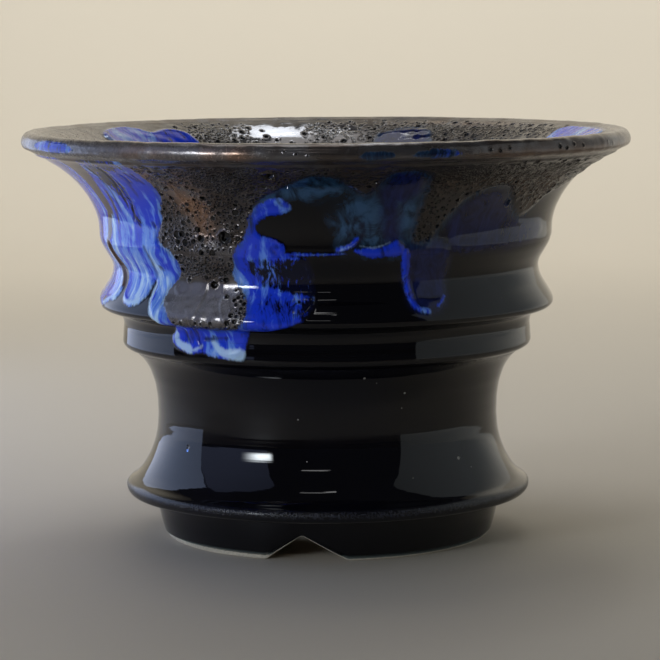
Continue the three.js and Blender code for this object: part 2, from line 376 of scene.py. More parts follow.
def shell(name, first, last, step, sectors, back_step=2.0):
    """A closed skin of glaze between two marks of the profile: fine rows outside, coarse ones behind."""
    profile = pot_profile()
    thickness = Sizes(bpy.context.scene.pot_walls).glaze_thickness
    front = profile.between(first, last, step)
    front[0] += SEAM_GAP
    front[-1] -= SEAM_GAP
    back = np.linspace(front[-1], front[0], max(2, round((front[-1] - front[0]) / back_step)) + 1)
    inner = profile.at(back) - profile.normal(back) * thickness
    loop = np.vstack([profile.at(front), inner])
    attributes = {
        "station": np.concatenate([front, back]),
        "depth": np.concatenate([np.zeros(len(front)), np.full(len(back), thickness)]),
    }
    return Skin(turned(name, loop, attributes, sectors), profile)


class Skin:
    """The points of a turned piece, with what is worked out for each of them."""

    def __init__(self, piece, profile):
        self.piece = piece
        self.mesh = piece.data
        self.profile = profile
        count = len(self.mesh.vertices)
        places = np.zeros(count * 3, np.float32)
        self.mesh.vertices.foreach_get("co", places)
        self.places = places.reshape(-1, 3).astype(float) / MM
        self.station = self.read("station")
        self.depth = self.read("depth")
        self.azimuth = np.degrees(np.arctan2(self.places[:, 0], -self.places[:, 1]))
        self.height = profile.at(self.station)[:, 1]
        radial, upward = profile.normal(self.station).T
        sine, cosine = np.sin(np.radians(self.azimuth)), -np.cos(np.radians(self.azimuth))
        self.normals = np.stack([radial * sine, radial * cosine, upward], axis=1)
        self.front = self.depth < 0.01
        self.ends = np.minimum(self.station - self.station.min(), self.station.max() - self.station)

    def read(self, name):
        values = np.zeros(len(self.mesh.vertices), np.float32)
        self.mesh.attributes[name].data.foreach_get("value", values)
        return values.astype(float)

    def raise_by(self, distance):
        """Moves the outer surface out by a distance in millimetres."""
        self.places += self.normals * np.where(self.front, distance, 0)[:, None]

    def write_places(self):
        self.mesh.vertices.foreach_set("co", np.float32(self.places * MM).ravel())
        self.mesh.update()

    def write(self, layers):
        """Stores what the materials read: values by name, and coordinates that follow the running glaze
        round the pot and down its wall."""
        store(self.mesh, layers)
        angle = np.radians(self.azimuth)
        flow = np.stack([FLOW_RADIUS * np.sin(angle), -FLOW_RADIUS * np.cos(angle), self.station], axis=1)
        layer = self.mesh.attributes.new("flow", "FLOAT_VECTOR", "POINT")
        layer.data.foreach_set("vector", np.float32(flow).ravel())

    def finish(self, material, slot, nodes):
        self.write_places()
        select_only(self.piece)
        bpy.ops.object.shade_smooth_by_angle(angle=SHARP_ANGLE)
        self.mesh.materials.append(material)
        self.mesh.attributes.remove(self.mesh.attributes["depth"])
        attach(self.piece, "root")
        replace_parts(self.piece, *nodes)
        self.piece


def waves(places, wavelength, seed, count):
    """A smooth random relief of about unit height."""
    random = np.random.default_rng(seed)
    directions = random.normal(size=(count, 3))
    directions /= np.linalg.norm(directions, axis=1, keepdims=True)
    lengths = wavelength * random.uniform(0.7, 1.6, count)
    phases = random.uniform(0, 2 * np.pi, count)
    total = np.zeros(len(places))
    for direction, span, phase in zip(directions, lengths, phases):
        total += np.cos(places @ (direction * 2 * np.pi / span) + phase)
    return total / math.sqrt(count / 2)


def smooth(values, low, high):
    t = np.clip((values - low) / (high - low), 0, 1)
    return t * t * (3 - 2 * t)


# Glaze runs: outlines and strokes as (azimuth, height)

# In millimetres: the radius at which the wall is unrolled, a distance that stands for "not near", and
# how far round areas and strokes their distances are worked out
FLOW_RADIUS = 50
FAR = 12.0
AREA_REACH = 4.0
STROKE_REACH = 3.0
CORNER_CUTS = 2

CRUST_FRONT = [
    (-41, 86), (-40, 82.6), (-38.6, 79), (-38.8, 76.4), (-41.4, 74), (-41, 72.4), (-42.6, 70.5),
    (-44.5, 68.4), (-44, 66.8), (-40.4, 65.2), (-38.9, 63.2), (-39.2, 61.2), (-41.4, 58.9), (-43.8, 56.6),
    (-44.6, 54.8), (-42.9, 53), (-41, 51.6), (-39.4, 50.2), (-36, 49.7), (-31.5, 49.4), (-25.7, 49.5),
    (-21.4, 50.3), (-19.5, 51.8), (-19.5, 54), (-20.4, 56.2), (-21.7, 57.8), (-23.6, 59.2), (-24.2, 60.8),
    (-23, 62.4), (-22.6, 64), (-22.8, 65.2), (-21.6, 66.6), (-19.7, 68.3), (-18.8, 69.9), (-18.2, 72.3),
    (-17, 74.2), (-15.2, 76), (-12.9, 77.4), (-9, 79.2), (-5.6, 80.8), (-2.6, 82), (1.4, 81.6), (4, 80),
    (6.1, 78.4), (8.8, 77.4), (10.6, 78.8), (11.6, 81), (13, 82.4), (17, 82.8), (20.6, 82), (21.4, 79.4),
    (21.4, 76.2), (21.2, 73), (20.2, 69), (20.8, 67.2), (24, 67.3), (25.8, 68.3), (27.6, 70.8),
    (30, 73.4), (32, 75.9), (35, 77.8), (39, 78.8), (44, 78.4), (46, 76), (48.6, 74), (52, 71.4),
    (56, 72), (59, 74), (63, 76.4), (70, 77), (78, 80), (84, 86), (80, 88.4), (60, 88.6), (30, 88.6),
    (0, 88.6), (-28, 88.6), (-38, 88),
]
CRUST_BACK = [
    (88, 86), (86, 78.8), (98, 75.3), (120, 77.4), (140, 75.3), (146, 68.1), (148, 62), (150.6, 59.4),
    (154, 58.6), (157, 60.4), (160, 64.6), (168, 67.2), (176, 76.1), (190, 74.4), (206, 77), (206, 86),
    (200, 88.4), (150, 88.6), (96, 88.6),
]
BLUE_LEFT = [
    (-36, 86), (-42, 88.4), (-60, 88.6), (-90, 88.4), (-104, 87), (-109, 75), (-113, 65), (-104, 57),
    (-92, 53.2), (-80, 51.4), (-75.5, 51.4), (-72.5, 52.3), (-69.5, 53.1), (-66.4, 53.4), (-65.2, 56),
    (-66.6, 58.6), (-68.2, 60.6), (-69.4, 62.6), (-69.6, 65), (-68.2, 65.4), (-67.6, 63), (-65.4, 60.6),
    (-64, 58), (-63.6, 55.6), (-62.4, 53.8), (-59, 52.7), (-55.4, 52.8), (-52.8, 53.8), (-51.4, 55.4),
    (-51, 57.4), (-49.8, 58.6), (-48.7, 57.6), (-49.5, 55.4), (-48.8, 53.2), (-47, 51.4), (-44.6, 49.7),
    (-42, 49.2), (-34, 49.3), (-30, 60), (-30, 72), (-34, 80),
]
BLUE_DRIP = [
    (-41.8, 49.8), (-44.2, 48.2), (-46.6, 46.6), (-45, 44.9), (-41.7, 44), (-38.2, 43.7), (-35.6, 44.2),
    (-34, 43.9), (-31, 43.4), (-27, 43.1), (-23.6, 43.6), (-22, 45.2), (-21.1, 47.6), (-19.6, 49.9),
    (-30, 51),
]
BLUE_CENTRE = [
    (-27, 65.4), (-21, 65.3), (-15.4, 65.3), (-8.6, 65.2), (-3.8, 64.4), (-2.8, 61), (-2.9, 58),
    (-2.6, 55.2), (-4.2, 52.9), (-7.7, 51.2), (-11.3, 50.2), (-15.6, 49.7), (-22, 49.4), (-27, 52),
    (-28, 58),
]
BLUE_CLAW = [
    (-27, 64), (-26, 68), (-21.4, 71.6), (-18.2, 74), (-15.2, 75.6), (-12.4, 76.8), (-10, 77.2),
    (-8.2, 75.8), (-7.7, 74.2), (-10.7, 73.5), (-14.1, 73.2), (-16.2, 71.6), (-17, 70.2), (-15.6, 69),
    (-12.6, 68.5), (-10.6, 67.6), (-9.6, 66.4), (-9.8, 64.8), (-16, 63.8),
]
BLUE_STRIP = [(16.6, 68.6), (18.9, 66.4), (18.8, 65), (15.2, 64.7), (10.7, 64.5), (8.4, 65.2), (6, 66.2),
              (8.6, 66.5), (12.6, 66.4), (15, 67)]
TONGUE = [(18.6, 66.6), (19.4, 61.4), (20.1, 57.7), (20.6, 54.8), (21.8, 53.3), (24.6, 52.7),
          (28.4, 53.5), (30.7, 55.2), (32, 58.1), (31.4, 63), (31, 67), (25, 68.5)]
FLOW_POOL = [(1.4, 76.6), (0.9, 73.5), (1.8, 71.2), (2.8, 68.5), (2.4, 66.6), (6, 65), (12.7, 64.6),
             (19, 65.4), (20.6, 69), (21.4, 74), (20, 79), (12.9, 77.4), (8.6, 77.2), (5.2, 77)]
HAZE_LEFT = [(-16, 75.4), (-12, 76.6), (-8.9, 76.9), (-5.6, 76.9), (-0.9, 76.2), (2.6, 75.8), (4.4, 77.2),
             (3, 79.6), (0, 82), (-3, 82.2), (-5.6, 81), (-9, 79.2), (-14, 78.2)]
NAVY_TOP = [(10.8, 77.6), (11.8, 80.2), (13, 81.6), (14.9, 82.6), (18, 82.4), (20.6, 80.7), (20.8, 78.2),
            (19.5, 76.3), (17.3, 75.4), (12.8, 75.6)]
NAVY_RIGHT = [(29.8, 70.6), (31, 73), (33, 75.4), (36.4, 77), (42.6, 77.4), (46, 75), (50, 71.6),
              (57, 70.6), (66, 70.6), (69, 67), (60, 65.2), (39.9, 64.9), (31, 64.9)]
BLUE_BACK_RIGHT = [(95, 76), (101, 77.6), (108, 76), (114, 78), (121, 76.4), (124, 70), (123, 64.6),
                   (120.6, 61.4), (118.6, 64.6), (116.6, 66), (115, 60), (113, 54.6), (109.6, 52),
                   (106, 53.6), (104.6, 59), (103, 63), (100.6, 61), (98.4, 63.4), (96, 69)]
BLUE_BACK_LEFT = [(208, 87), (212, 88.6), (226, 88.6), (240, 88.4), (244, 86), (247, 77), (246, 70),
                  (242.6, 64.4), (240, 63.4), (238, 66.6), (236, 69.4), (233.6, 66), (232.6, 60),
                  (230, 54.4), (226.6, 52.4), (223.6, 54), (222.4, 58.6), (221, 62.4), (219, 60.4),
                  (217, 56), (214, 54.6), (211.6, 57.4), (210, 63.4), (208.4, 72)]

WALL_AREAS = {
    "crust": [CRUST_FRONT, CRUST_BACK],
    "blue": [BLUE_LEFT, BLUE_DRIP, BLUE_CENTRE, BLUE_CLAW, BLUE_STRIP, BLUE_BACK_RIGHT, BLUE_BACK_LEFT],
    "navy": [NAVY_TOP, NAVY_RIGHT, TONGUE],
    "teal": [HAZE_LEFT, FLOW_POOL],
}
# Here the run is only brushed on, the more so the further right.
BRUSHED_AREA = [(-20.6, 64.6), (-15, 65), (-8, 65), (0, 65), (1, 61), (0.6, 57), (-3, 55.4), (-7, 56.4),
                (-11, 57), (-15, 57.8), (-18.6, 59.4), (-20, 61.6)]
# Strokes have a half width in millimetres at their start and at their end.
WALL_STROKES = {
    "blue": [
        (0.95, 0.6, [(18.9, 65.4), (20, 61.4), (20.7, 57.7), (21.2, 55.2), (22.4, 53.8), (25, 53.3)]),
        (0.1, 0.3, [(30.6, 56), (29.8, 55.2), (28.2, 54.2)]),
        (0.3, 0.12, [(-12, 65.4), (-6, 65.3), (-1.5, 65.3), (4.4, 65.5)]),
        (0.45, 0.4, [(2.8, 66.3), (4.7, 66.7), (6.3, 67.5), (7.4, 68.4)]),
        (0.3, 0.15, [(5, 79.6), (7.4, 78.4)]),
    ],
    "navy": [
        (1.9, 1.7, [(14.4, 77), (14.8, 73), (15.6, 69), (16.6, 67)]),
        (1.2, 0.9, [(25.4, 57), (27, 55)]),
    ],
    "milky_and_highlight": [
        (-0.02, -0.1, [(7.9, 67), (8.6, 66.9), (10.7, 66.5), (13.1, 66.9), (15, 67.7)]),
        (-0.05, -0.05, [(3.2, 66.2), (5.4, 66.8), (7, 67.8)]),
        (0.35, 0.5, [(-49, 58.4), (-49.9, 56.4), (-49.6, 54.2), (-48, 52.2), (-46, 50.6)]),
        # The next two wide strokes along the drip's lower edge are partly milky glaze, partly a painted
        # highlight.
        (0.5, 1.0, [(-43.6, 47.8), (-44.6, 46.4), (-42.2, 45.2), (-39.4, 44.6)]),
        (0.5, 1.3, [(-31.4, 46.6), (-30, 45), (-27.4, 44.1), (-23.6, 44.2)]),
        (0.3, 0.2, [(-38.6, 44.4), (-36.4, 44.8), (-35, 45.6)]),
        (0.25, 0.3, [(-75, 51.9), (-72, 52.8), (-69.6, 53.6), (-67, 53.6)]),
        (0.3, 0.5, [(-64.2, 57.4), (-63, 55), (-61, 53.6), (-57.6, 53.3), (-54, 53.9)]),
        (0.2, 0.15, [(-44, 66.6), (-41.4, 65.6), (-39.6, 64)]),
    ],
    "ink": [
        (0.4, 0.2, [(-49.8, 82.8), (-50.4, 80.2), (-51.8, 77.1), (-52.7, 74.1)]),
        (0.2, 0.3, [(-49.4, 81.4), (-49.7, 78.2), (-50.3, 74.6), (-52.3, 71.3)]),
        (0.2, 0.15, [(-54, 83), (-55.4, 79.6), (-56.6, 76), (-57, 73)]),
        (0.3, 0.25, [(-45.4, 81.4), (-45.1, 80.6), (-45.3, 79.6)]),
        (0.3, 0.25, [(-42, 81.6), (-41.7, 80.6), (-41.2, 79.6)]),
        (0.2, 0.3, [(-43.6, 81.8), (-43.2, 80.9), (-42.4, 80.2)]),
        (0.5, 0.5, [(-45.4, 70.8), (-44.8, 70.2)]),
        (0.3, 0.4, [(-49.9, 65.6), (-48.9, 63.3), (-49.2, 61), (-48.9, 59.1)]),
        (0.35, 0.35, [(-46.4, 61.6), (-46, 61.2)]),
        (0.62, 0.7, [(8.2, 71.5), (8.5, 71)]),
        (0.5, 0.35, [(8.9, 70.2), (8.2, 68.4), (6.8, 67)]),
        (0.1, 0.22, [(5.2, 73.8), (4.8, 72), (4.9, 70.2), (5.3, 69)]),
        (0.12, 0.1, [(6.2, 69.4), (6.1, 71.4), (7, 73.1), (9, 73), (10.4, 71.1), (10.1, 69)]),
        (0.25, 0.1, [(21.9, 63.2), (22.2, 59.5), (22.3, 57.1), (22.8, 55.6)]),
        (0.3, 0.45, [(23.7, 56), (25.8, 55.7), (28.6, 55.8)]),
        (0.9, 0.5, [(-36.4, 49.4), (-36.8, 47.6), (-35.6, 46), (-35, 45)]),
        (0.5, 0.3, [(-40.6, 48.6), (-40, 47), (-38.8, 46)]),
        (0.4, 0.25, [(-34, 47), (-30.4, 47.2), (-27, 47.6)]),
        (0.35, 0.15, [(-10.4, 78), (-10.6, 76.8), (-9.6, 75.6)]),
        (0.3, 0.25, [(-12.2, 65.7), (-13, 66.3), (-12.6, 67.1), (-11.4, 66.8)]),
        (0.2, 0.2, [(14.6, 71.8), (14.2, 69.6), (15.4, 68.6)]),
    ],
    "rust": [
        (2.8, 1.9, [(-56, 86), (-59.6, 82.6), (-61.6, 80.4), (-63.4, 78), (-64, 75.6), (-63.8, 73.3)]),
        (1.1, 1.3, [(-64.6, 72), (-66.4, 69.9), (-68, 67.4)]),
        (1.9, 1.8, [(-69.4, 64.6), (-68.2, 61.9), (-66.2, 59.6), (-65.4, 57.6)]),
        (0.6, 0.4, [(-58.6, 77), (-59.4, 73.6), (-60.4, 70.4)]),
    ],
}
# Soft tints: (azimuth, height, reach round the pot, reach up the wall, amount)
WALL_WASHES = {
    # The wash at (-26, 45), at the drip's foot, is partly a painted highlight.
    "pale": [
        (-66, 70, 6, 10, 0.5), (-57, 68, 4, 6, 0.55), (-58, 57, 6, 5, 1.0), (-47.6, 58, 3, 6, 0.9),
        (-46, 53, 3, 4, 0.9), (-36, 46, 8, 3, 0.4), (-43, 67, 2, 2.5, 0.7), (-26, 45, 4, 2, 0.5),
        (228, 72, 8, 10, 0.6), (108, 66, 6, 8, 0.4),
    ],
    "deep": [
        (-45, 80, 6, 4, 1.0), (-46, 73, 3.5, 4, 0.7), (-72, 78, 4, 6, 0.7), (-12, 53, 9, 4, 0.35),
        (-52, 66, 3, 5, 0.5),
        (-14, 70, 7, 7, 0.8), (14, 70, 5, 8, 1.0), (21, 58, 2, 8, 0.6), (-23, 48, 3, 3, 0.7),
        (-42, 48.4, 2, 1.5, 0.7), (-36, 47, 2.6, 1.6, 1.0), (-104, 66, 9, 14, 0.5),
        (226, 58, 10, 5, 0.7), (112, 56, 8, 5, 0.7),
    ],
    # Dark brushed streaks in the blue; the wide wash just under the lip, (-62, 84.6), is painted shade.
    "dark_streaks_and_shade": [
        (-3.5, 56, 1.6, 3, 0.4), (-2, 50, 4, 3, 0.35), (-11, 54.4, 8, 3, 0.5), (20.8, 59, 2, 6, 0.45),
        (-25, 69, 3, 6, 0.3), (-53, 80, 3, 4, 0.66), (-51, 72, 2, 5, 0.5), (-62, 84.6, 16, 1.3, 0.62),
        (-46, 83, 4, 2, 0.6), (-62, 62, 3, 4, 0.25), (-31, 47.6, 5, 1.2, 0.45), (-16, 76, 3, 1.6, 0.5),
        (12, 74, 4, 2, 0.4),
    ],
    "copper": [
        (-34, 80, 3, 3, 0.8), (-31.4, 76.4, 2.2, 3, 1.0), (-29.6, 73, 1.6, 2.4, 0.9),
        (-29, 69.6, 1.4, 1.6, 0.6), (-38, 82, 3, 1.6, 0.5), (50, 79, 6, 3, 0.55), (57, 74, 3, 4, 0.5),
        (30, 80, 5, 2, 0.3), (64, 79, 5, 3, 0.5), (-21, 57, 2, 2, 0.15), (150, 74, 8, 5, 0.6),
    ],
    # These washes are partly a painted sheen; the one on the rib, (-31, 54.2), stands in for a reflected
    # window.
    "satin_and_painted_sheen": [(-31, 54.2, 8, 2.8, 0.9), (-32, 76, 3, 3, 0.3), (-31, 69, 5, 4, 0.2)],
    "porous": [
        (-12, 81, 22, 2.6, 1.0), (-26, 77, 7, 4, 0.75), (-37.5, 70, 3.2, 4.4, 0.9),
        (-30, 66.6, 6, 2, 0.5), (-22, 72, 3, 4, 0.55), (-31, 61.8, 4, 1.2, 0.8),
        (-21, 54.6, 1.2, 3.2, 0.8), (22.5, 74, 3, 6, 0.7), (23.6, 69, 3.4, 1.8, 0.9),
        (40, 81, 14, 2.6, 1.0), (58, 79, 10, 3.5, 1.0), (-41.5, 77, 2, 3, 0.5), (100, 81, 20, 3, 0.9),
        (150, 76, 10, 7, 0.8), (185, 80, 16, 3, 0.9), (-32, 50.2, 9, 0.7, 0.5),
    ],
}
CALM_SPOTS = [(-32.6, 77.6, 2.4, 4.5, 1.0), (-30.6, 55, 6, 3.2, 0.9), (-9, 84.4, 60, 0.9, 1.0)]

# Craters that stand out: (azimuth, height, radius)
BIG_CRATERS = [
    (-24.4, 68.6, 1.35), (-30.9, 68.2, 0.8), (-31.6, 70.1, 0.7), (-37.7, 68.8, 0.9), (-36.3, 69, 0.65),
    (-35.6, 67.2, 0.75), (-33, 65, 0.55), (-31, 65.3, 0.65), (-28, 65.3, 0.7), (-29.2, 65.7, 0.4),
    (-27.2, 60.9, 0.55), (-27.4, 59.6, 0.5), (-29.6, 58.5, 0.7), (-37.2, 59.2, 0.5), (-25.5, 56.2, 0.45),
    (-28.6, 50.9, 0.45), (-20.7, 74, 0.75), (-27.6, 76.8, 0.75), (-11, 82.1, 1.3), (-12.6, 79.7, 0.7),
    (-15.2, 79.3, 0.6), (-8.3, 79.5, 0.6), (-34.2, 62, 0.5), (-32.4, 61.7, 0.4), (-31, 61.4, 0.45),
    (-35.3, 71.4, 0.6), (-33.6, 71.8, 0.5), (-21.4, 55.4, 0.4), (-21, 54, 0.45), (-21.6, 57, 0.4),
    (46, 74.6, 0.7), (22, 70, 0.5), (25, 69, 0.5), (21, 71.4, 0.4), (27, 74.4, 0.6), (25.4, 76, 0.45),
    (153, 64, 1.2), (160, 71, 0.9), (148, 74, 0.8), (168, 78, 1.0), (132, 79, 0.9), (190, 79, 0.8),
]


def smooth_loop(points):
    """Cuts the corners of a closed outline."""
    points = np.array(points, float)
    for _ in range(CORNER_CUTS):
        following = np.roll(points, -1, axis=0)
        points = np.stack([points * 0.75 + following * 0.25, points * 0.25 + following * 0.75],
                          axis=1).reshape(-1, 2)
    return points


def smooth_path(points):
    """Cuts the corners of an open stroke, and keeps its ends."""
    points = np.array(points, float)
    for _ in range(CORNER_CUTS):
        cut = np.stack([points[:-1] * 0.75 + points[1:] * 0.25, points[:-1] * 0.25 + points[1:] * 0.75],
                       axis=1).reshape(-1, 2)
        points = np.vstack([points[:1], cut[1:-1], points[-1:]]) if len(points) > 2 else points
    return points


class Canvas:
    """The unrolled outside of a skin, in millimetres round the pot and up its wall."""

    def __init__(self, skin, station_of):
        self.skin = skin
        self.station_of = station_of
        self.spots = np.stack([np.radians(skin.azimuth) * FLOW_RADIUS, skin.station], axis=1)
        self.turn = 2 * np.pi * FLOW_RADIUS

    def unroll(self, points):
        points = np.array(points, float)
        return np.stack([np.radians(points[:, 0]) * FLOW_RADIUS, self.station_of(points[:, 1])], axis=1)

    def place(self, azimuth, height):
        """The place on the undisturbed surface at an azimuth and a height."""
        return self.skin.profile.place(self.station_of(height), azimuth)

    def near(self, corners, reach):
        """Points close to some corners, and where they lie as seen from there."""
        middle = corners[:, 0].mean()
        spots = self.spots.copy()
        spots[:, 0] = middle + (spots[:, 0] - middle + self.turn / 2) % self.turn - self.turn / 2
        low, high = corners.min(axis=0) - reach, corners.max(axis=0) + reach
        chosen = np.flatnonzero(self.skin.front & (spots >= low).all(axis=1) & (spots <= high).all(axis=1))
        return chosen, spots[chosen]

    def area(self, outline):
        """Distance inside an outline, negative outside it."""
        corners = smooth_loop(self.unroll(outline))
        chosen, spots = self.near(corners, AREA_REACH)
        distance, _ = from_path(spots, np.vstack([corners, corners[:1]]))
        inside = np.zeros(len(spots), bool)
        for start, end in zip(corners, np.roll(corners, -1, axis=0)):
            crosses = (start[1] > spots[:, 1]) != (end[1] > spots[:, 1])
            rise = end[1] - start[1]
            if crosses.any():
                meet = start[0] + (spots[:, 1] - start[1]) * (end[0] - start[0]) / rise
                inside ^= crosses & (spots[:, 0] < meet)
        field = np.full(len(self.spots), -FAR)
        field[chosen] = np.where(inside, distance, -distance)
        return field

    def stroke(self, first_width, last_width, path):
        """Distance inside a stroke of changing width, negative outside it."""
        line = smooth_path(self.unroll(path))
        chosen, spots = self.near(line, STROKE_REACH)
        distance, share = from_path(spots, line)
        field = np.full(len(self.spots), -FAR)
        field[chosen] = first_width + (last_width - first_width) * share - distance
        return field

    def wash(self, azimuth, height, width, rise, amount):
        """A soft round tint."""
        centre = self.unroll([(azimuth, height)])[0]
        across = (self.spots[:, 0] - centre[0] + self.turn / 2) % self.turn - self.turn / 2
        along = self.spots[:, 1] - centre[1]
        return amount * np.exp(-0.5 * ((across / width) ** 2 + (along / rise) ** 2))


def from_path(spots, line):
    """Distance from each spot to a line, and how far along it the nearest place lies."""
    best = np.full(len(spots), np.inf)
    share = np.zeros(len(spots))
    along = stations(line)
    for i in range(len(line) - 1):
        span = line[i + 1] - line[i]
        size = max(span @ span, 1e-12)
        t = np.clip(((spots - line[i]) @ span) / size, 0, 1)
        gap = np.hypot(*(spots - line[i] - t[:, None] * span).T)
        closer = gap < best
        best = np.where(closer, gap, best)
        share = np.where(closer, (along[i] + t * math.sqrt(size)) / along[-1], share)
    return best, share


def painted_fields(canvas, areas, strokes):
    """For each glaze, the distance inside its nearest area or stroke."""
    fields = {}
    for name in ("crust", "blue", "navy", "teal", "milky_and_highlight", "ink", "rust"):
        field = np.full(len(canvas.spots), -FAR)
        for outline in areas.get(name, ()):
            field = np.maximum(field, canvas.area(outline))
        for first, last, path in strokes.get(name, ()):
            field = np.maximum(field, canvas.stroke(first, last, path))
        fields[name] = field
    return fields


def soft_tints(canvas, washes):
    """For each tint, its strength from 0 to 1."""
    tints = {}
    for name in ("pale", "deep", "dark_streaks_and_shade", "copper", "porous", "satin_and_painted_sheen", "sleek"):
        strength = np.zeros(len(canvas.spots))
        for spot in washes.get(name, ()):
            strength += canvas.wash(*spot)
        tints[name] = np.clip(strength, 0, 1)
    brushed = smooth(canvas.area(BRUSHED_AREA), -1.4, 1.4)
    rightward = smooth(canvas.skin.azimuth, -19, -3)
    tints["dark_streaks_and_shade"] = np.maximum(tints["dark_streaks_and_shade"], brushed * (0.56 + 0.20 * rightward))
    return tints


# Shape of a crater in shares of its radius, but its greatest depth and its reach in millimetres
BOWL_DEPTH = 0.85
DEEPEST_BOWL = 0.75
RIM_HEIGHT = 0.2
RIM_PLACE = 1.14
RIM_WIDTH = 0.22
RIM_REACH = 0.9
# How many places are tried for a crater, how far apart two have to lie, in sums of their radii, and how
# far a big one's middle stays away from the crease, in millimetres
CRATER_TRIES = 9000
CRATER_SPACING = 1.04
CREASE_MARGIN = 0.3


def sunk_craters(skin, craters):
    """Bowls with a raised edge. Returns how much each point is raised, and how deep inside a crater's
    edge it lies."""
    tree = KDTree(len(skin.places))
    for i in np.flatnonzero(skin.front):
        tree.insert(skin.places[i], int(i))
    tree.balance()
    raised = np.zeros(len(skin.places))
    within = np.full(len(skin.places), -1.0)
    for centre, radius in craters:
        depth = min(BOWL_DEPTH * radius, DEEPEST_BOWL)
        for _, i, distance in tree.find_range(Vector(centre), radius + RIM_REACH):
            share = distance / radius
            if share < 1:
                raised[i] = min(raised[i], -depth * math.sqrt(1 - share * share))
            else:
                rim = math.exp(-((share - RIM_PLACE) / RIM_WIDTH) ** 2)
                raised[i] = max(raised[i], RIM_HEIGHT * radius * rim)
            within[i] = max(within[i], radius - distance)
    return raised, within


def scattered_craters(canvas, fields, porous, big, seed, smallest=0.2, largest=0.58):
    """Craters strewn over the crust, as thickly as it is porous."""
    skin = canvas.skin
    random = np.random.default_rng(seed)
    centres = [canvas.place(azimuth, height) for azimuth, height, _ in big]
    radii = [radius for _, _, radius in big]
    inland = skin.front & (fields["crust"] > 0.1) & (skin.ends > 0.5)
    open_crust = np.flatnonzero(inland & (porous > 0.06))
    picks = random.choice(open_crust, size=min(CRATER_TRIES, len(open_crust)), replace=False)
    sizes = random.uniform(0, 1, len(picks)) ** 2.0
    chances = random.uniform(0, 1, len(picks))
    centres = np.array(centres + [(FAR * 99,) * 3])
    radii = np.array(radii + [0.0])
    for pick, size, chance in zip(picks, sizes, chances):
        if chance > porous[pick] ** 1.2:
            continue
        radius = smallest + (largest - smallest) * size
        gap = np.linalg.norm(centres - skin.places[pick], axis=1)
        if (gap < (radii + radius) * CRATER_SPACING).any():
            continue
        centres = np.vstack([centres, skin.places[pick]])
        radii = np.append(radii, radius)
    return [(centre, radius) for centre, radius in zip(centres, radii) if radius > 0]


def run_relief(fields, glaze):
    """Thickness of the runs, with a bead along each edge."""
    g = Sizes(glaze)
    body = np.maximum.reduce([smooth(fields["blue"], -0.5, 1.0), 0.45 * smooth(fields["navy"], -0.6, 1.4)])
    bead = np.exp(-((fields["blue"] - 0.7) / 0.6) ** 2)
    dent = 0.35 * smooth(fields["ink"], -0.3, 0.4)
    return g.run_thickness * body * (1 - dent) + g.run_bead * bead


# Shader graphs

class Graph:
    """Adds nodes to a tree, each linked to what it reads."""

    def __init__(self, tree):
        self.tree = tree

    def node(self, kind, links=None, **settings):
        node = self.tree.nodes.new(kind)
        for name, value in settings.items():
            setattr(node, name, value)
        for name, value in (links or {}).items():
            self.feed(node.inputs[name], value)
        return node

    def feed(self, socket, value):
        if isinstance(value, bpy.types.NodeSocket):
            self.tree.links.new(value, socket)
        else:
            socket.default_value = value

    def math(self, operation, first, second=0.0, clamp=False):
        node = self.node("ShaderNodeMath", {0: first, 1: second}, operation=operation, use_clamp=clamp)
        return node.outputs[0]

    def plus(self, first, second):
        return self.math("ADD", first, second)

    def minus(self, first, second):
        return self.math("SUBTRACT", first, second)

    def times(self, first, second):
        return self.math("MULTIPLY", first, second)

    def smooth(self, value, low, high, start=0.0, end=1.0):
        links = {"Value": value, "From Min": low, "From Max": high, "To Min": start, "To Max": end}
        return self.node("ShaderNodeMapRange", links, interpolation_type="SMOOTHSTEP").outputs["Result"]

    def swing(self, value, amount):
        """A value from 0 to 1, centred on 0 and scaled."""
        return self.times(self.minus(value, 0.5), amount)

    def mix(self, share, first, second):
        """A colour between two colours."""
        node = self.node("ShaderNodeMix", data_type="RGBA", clamp_factor=True)
        self.feed(node.inputs["Factor"], share)
        self.feed(node.inputs[6], paint(first))
        self.feed(node.inputs[7], paint(second))
        return node.outputs[2]

    def blend(self, share, first, second):
        """A value between two values."""
        node = self.node("ShaderNodeMix", data_type="FLOAT", clamp_factor=True)
        self.feed(node.inputs["Factor"], share)
        self.feed(node.inputs[2], first)
        self.feed(node.inputs[3], second)
        return node.outputs[0]

    def attribute(self, name, output="Fac"):
        return self.node("ShaderNodeAttribute", attribute_name=name).outputs[output]

    def vector(self, operation, first, second):
        return self.node("ShaderNodeVectorMath", {0: first, 1: second}, operation=operation).outputs[0]

    def stretched(self, vector, x, y, z):
        return self.vector("MULTIPLY", vector, (x, y, z))

    def noise(self, vector, scale, detail=3.0, roughness=0.5, distortion=0.0):
        links = {"Vector": vector, "Scale": scale, "Detail": detail, "Roughness": roughness,
                 "Distortion": distortion}
        return self.node("ShaderNodeTexNoise", links).outputs["Fac"]

    def object_place(self):
        return self.node("ShaderNodeTexCoord").outputs["Object"]

    def bump(self, height, distance, normal=None):
        links = {"Height": height, "Distance": distance, "Strength": 1.0}
        if normal is not None:
            links["Normal"] = normal
        return self.node("ShaderNodeBump", links).outputs["Normal"]

    def group(self, tree, **links):
        node = self.node("ShaderNodeGroup", node_tree=tree)
        for name, value in links.items():
            self.feed(node.inputs[name], value)
        return node


def paint(value):
    """A colour with its alpha, or a socket as it is."""
    return value if isinstance(value, bpy.types.NodeSocket) else (*value, 1.0)


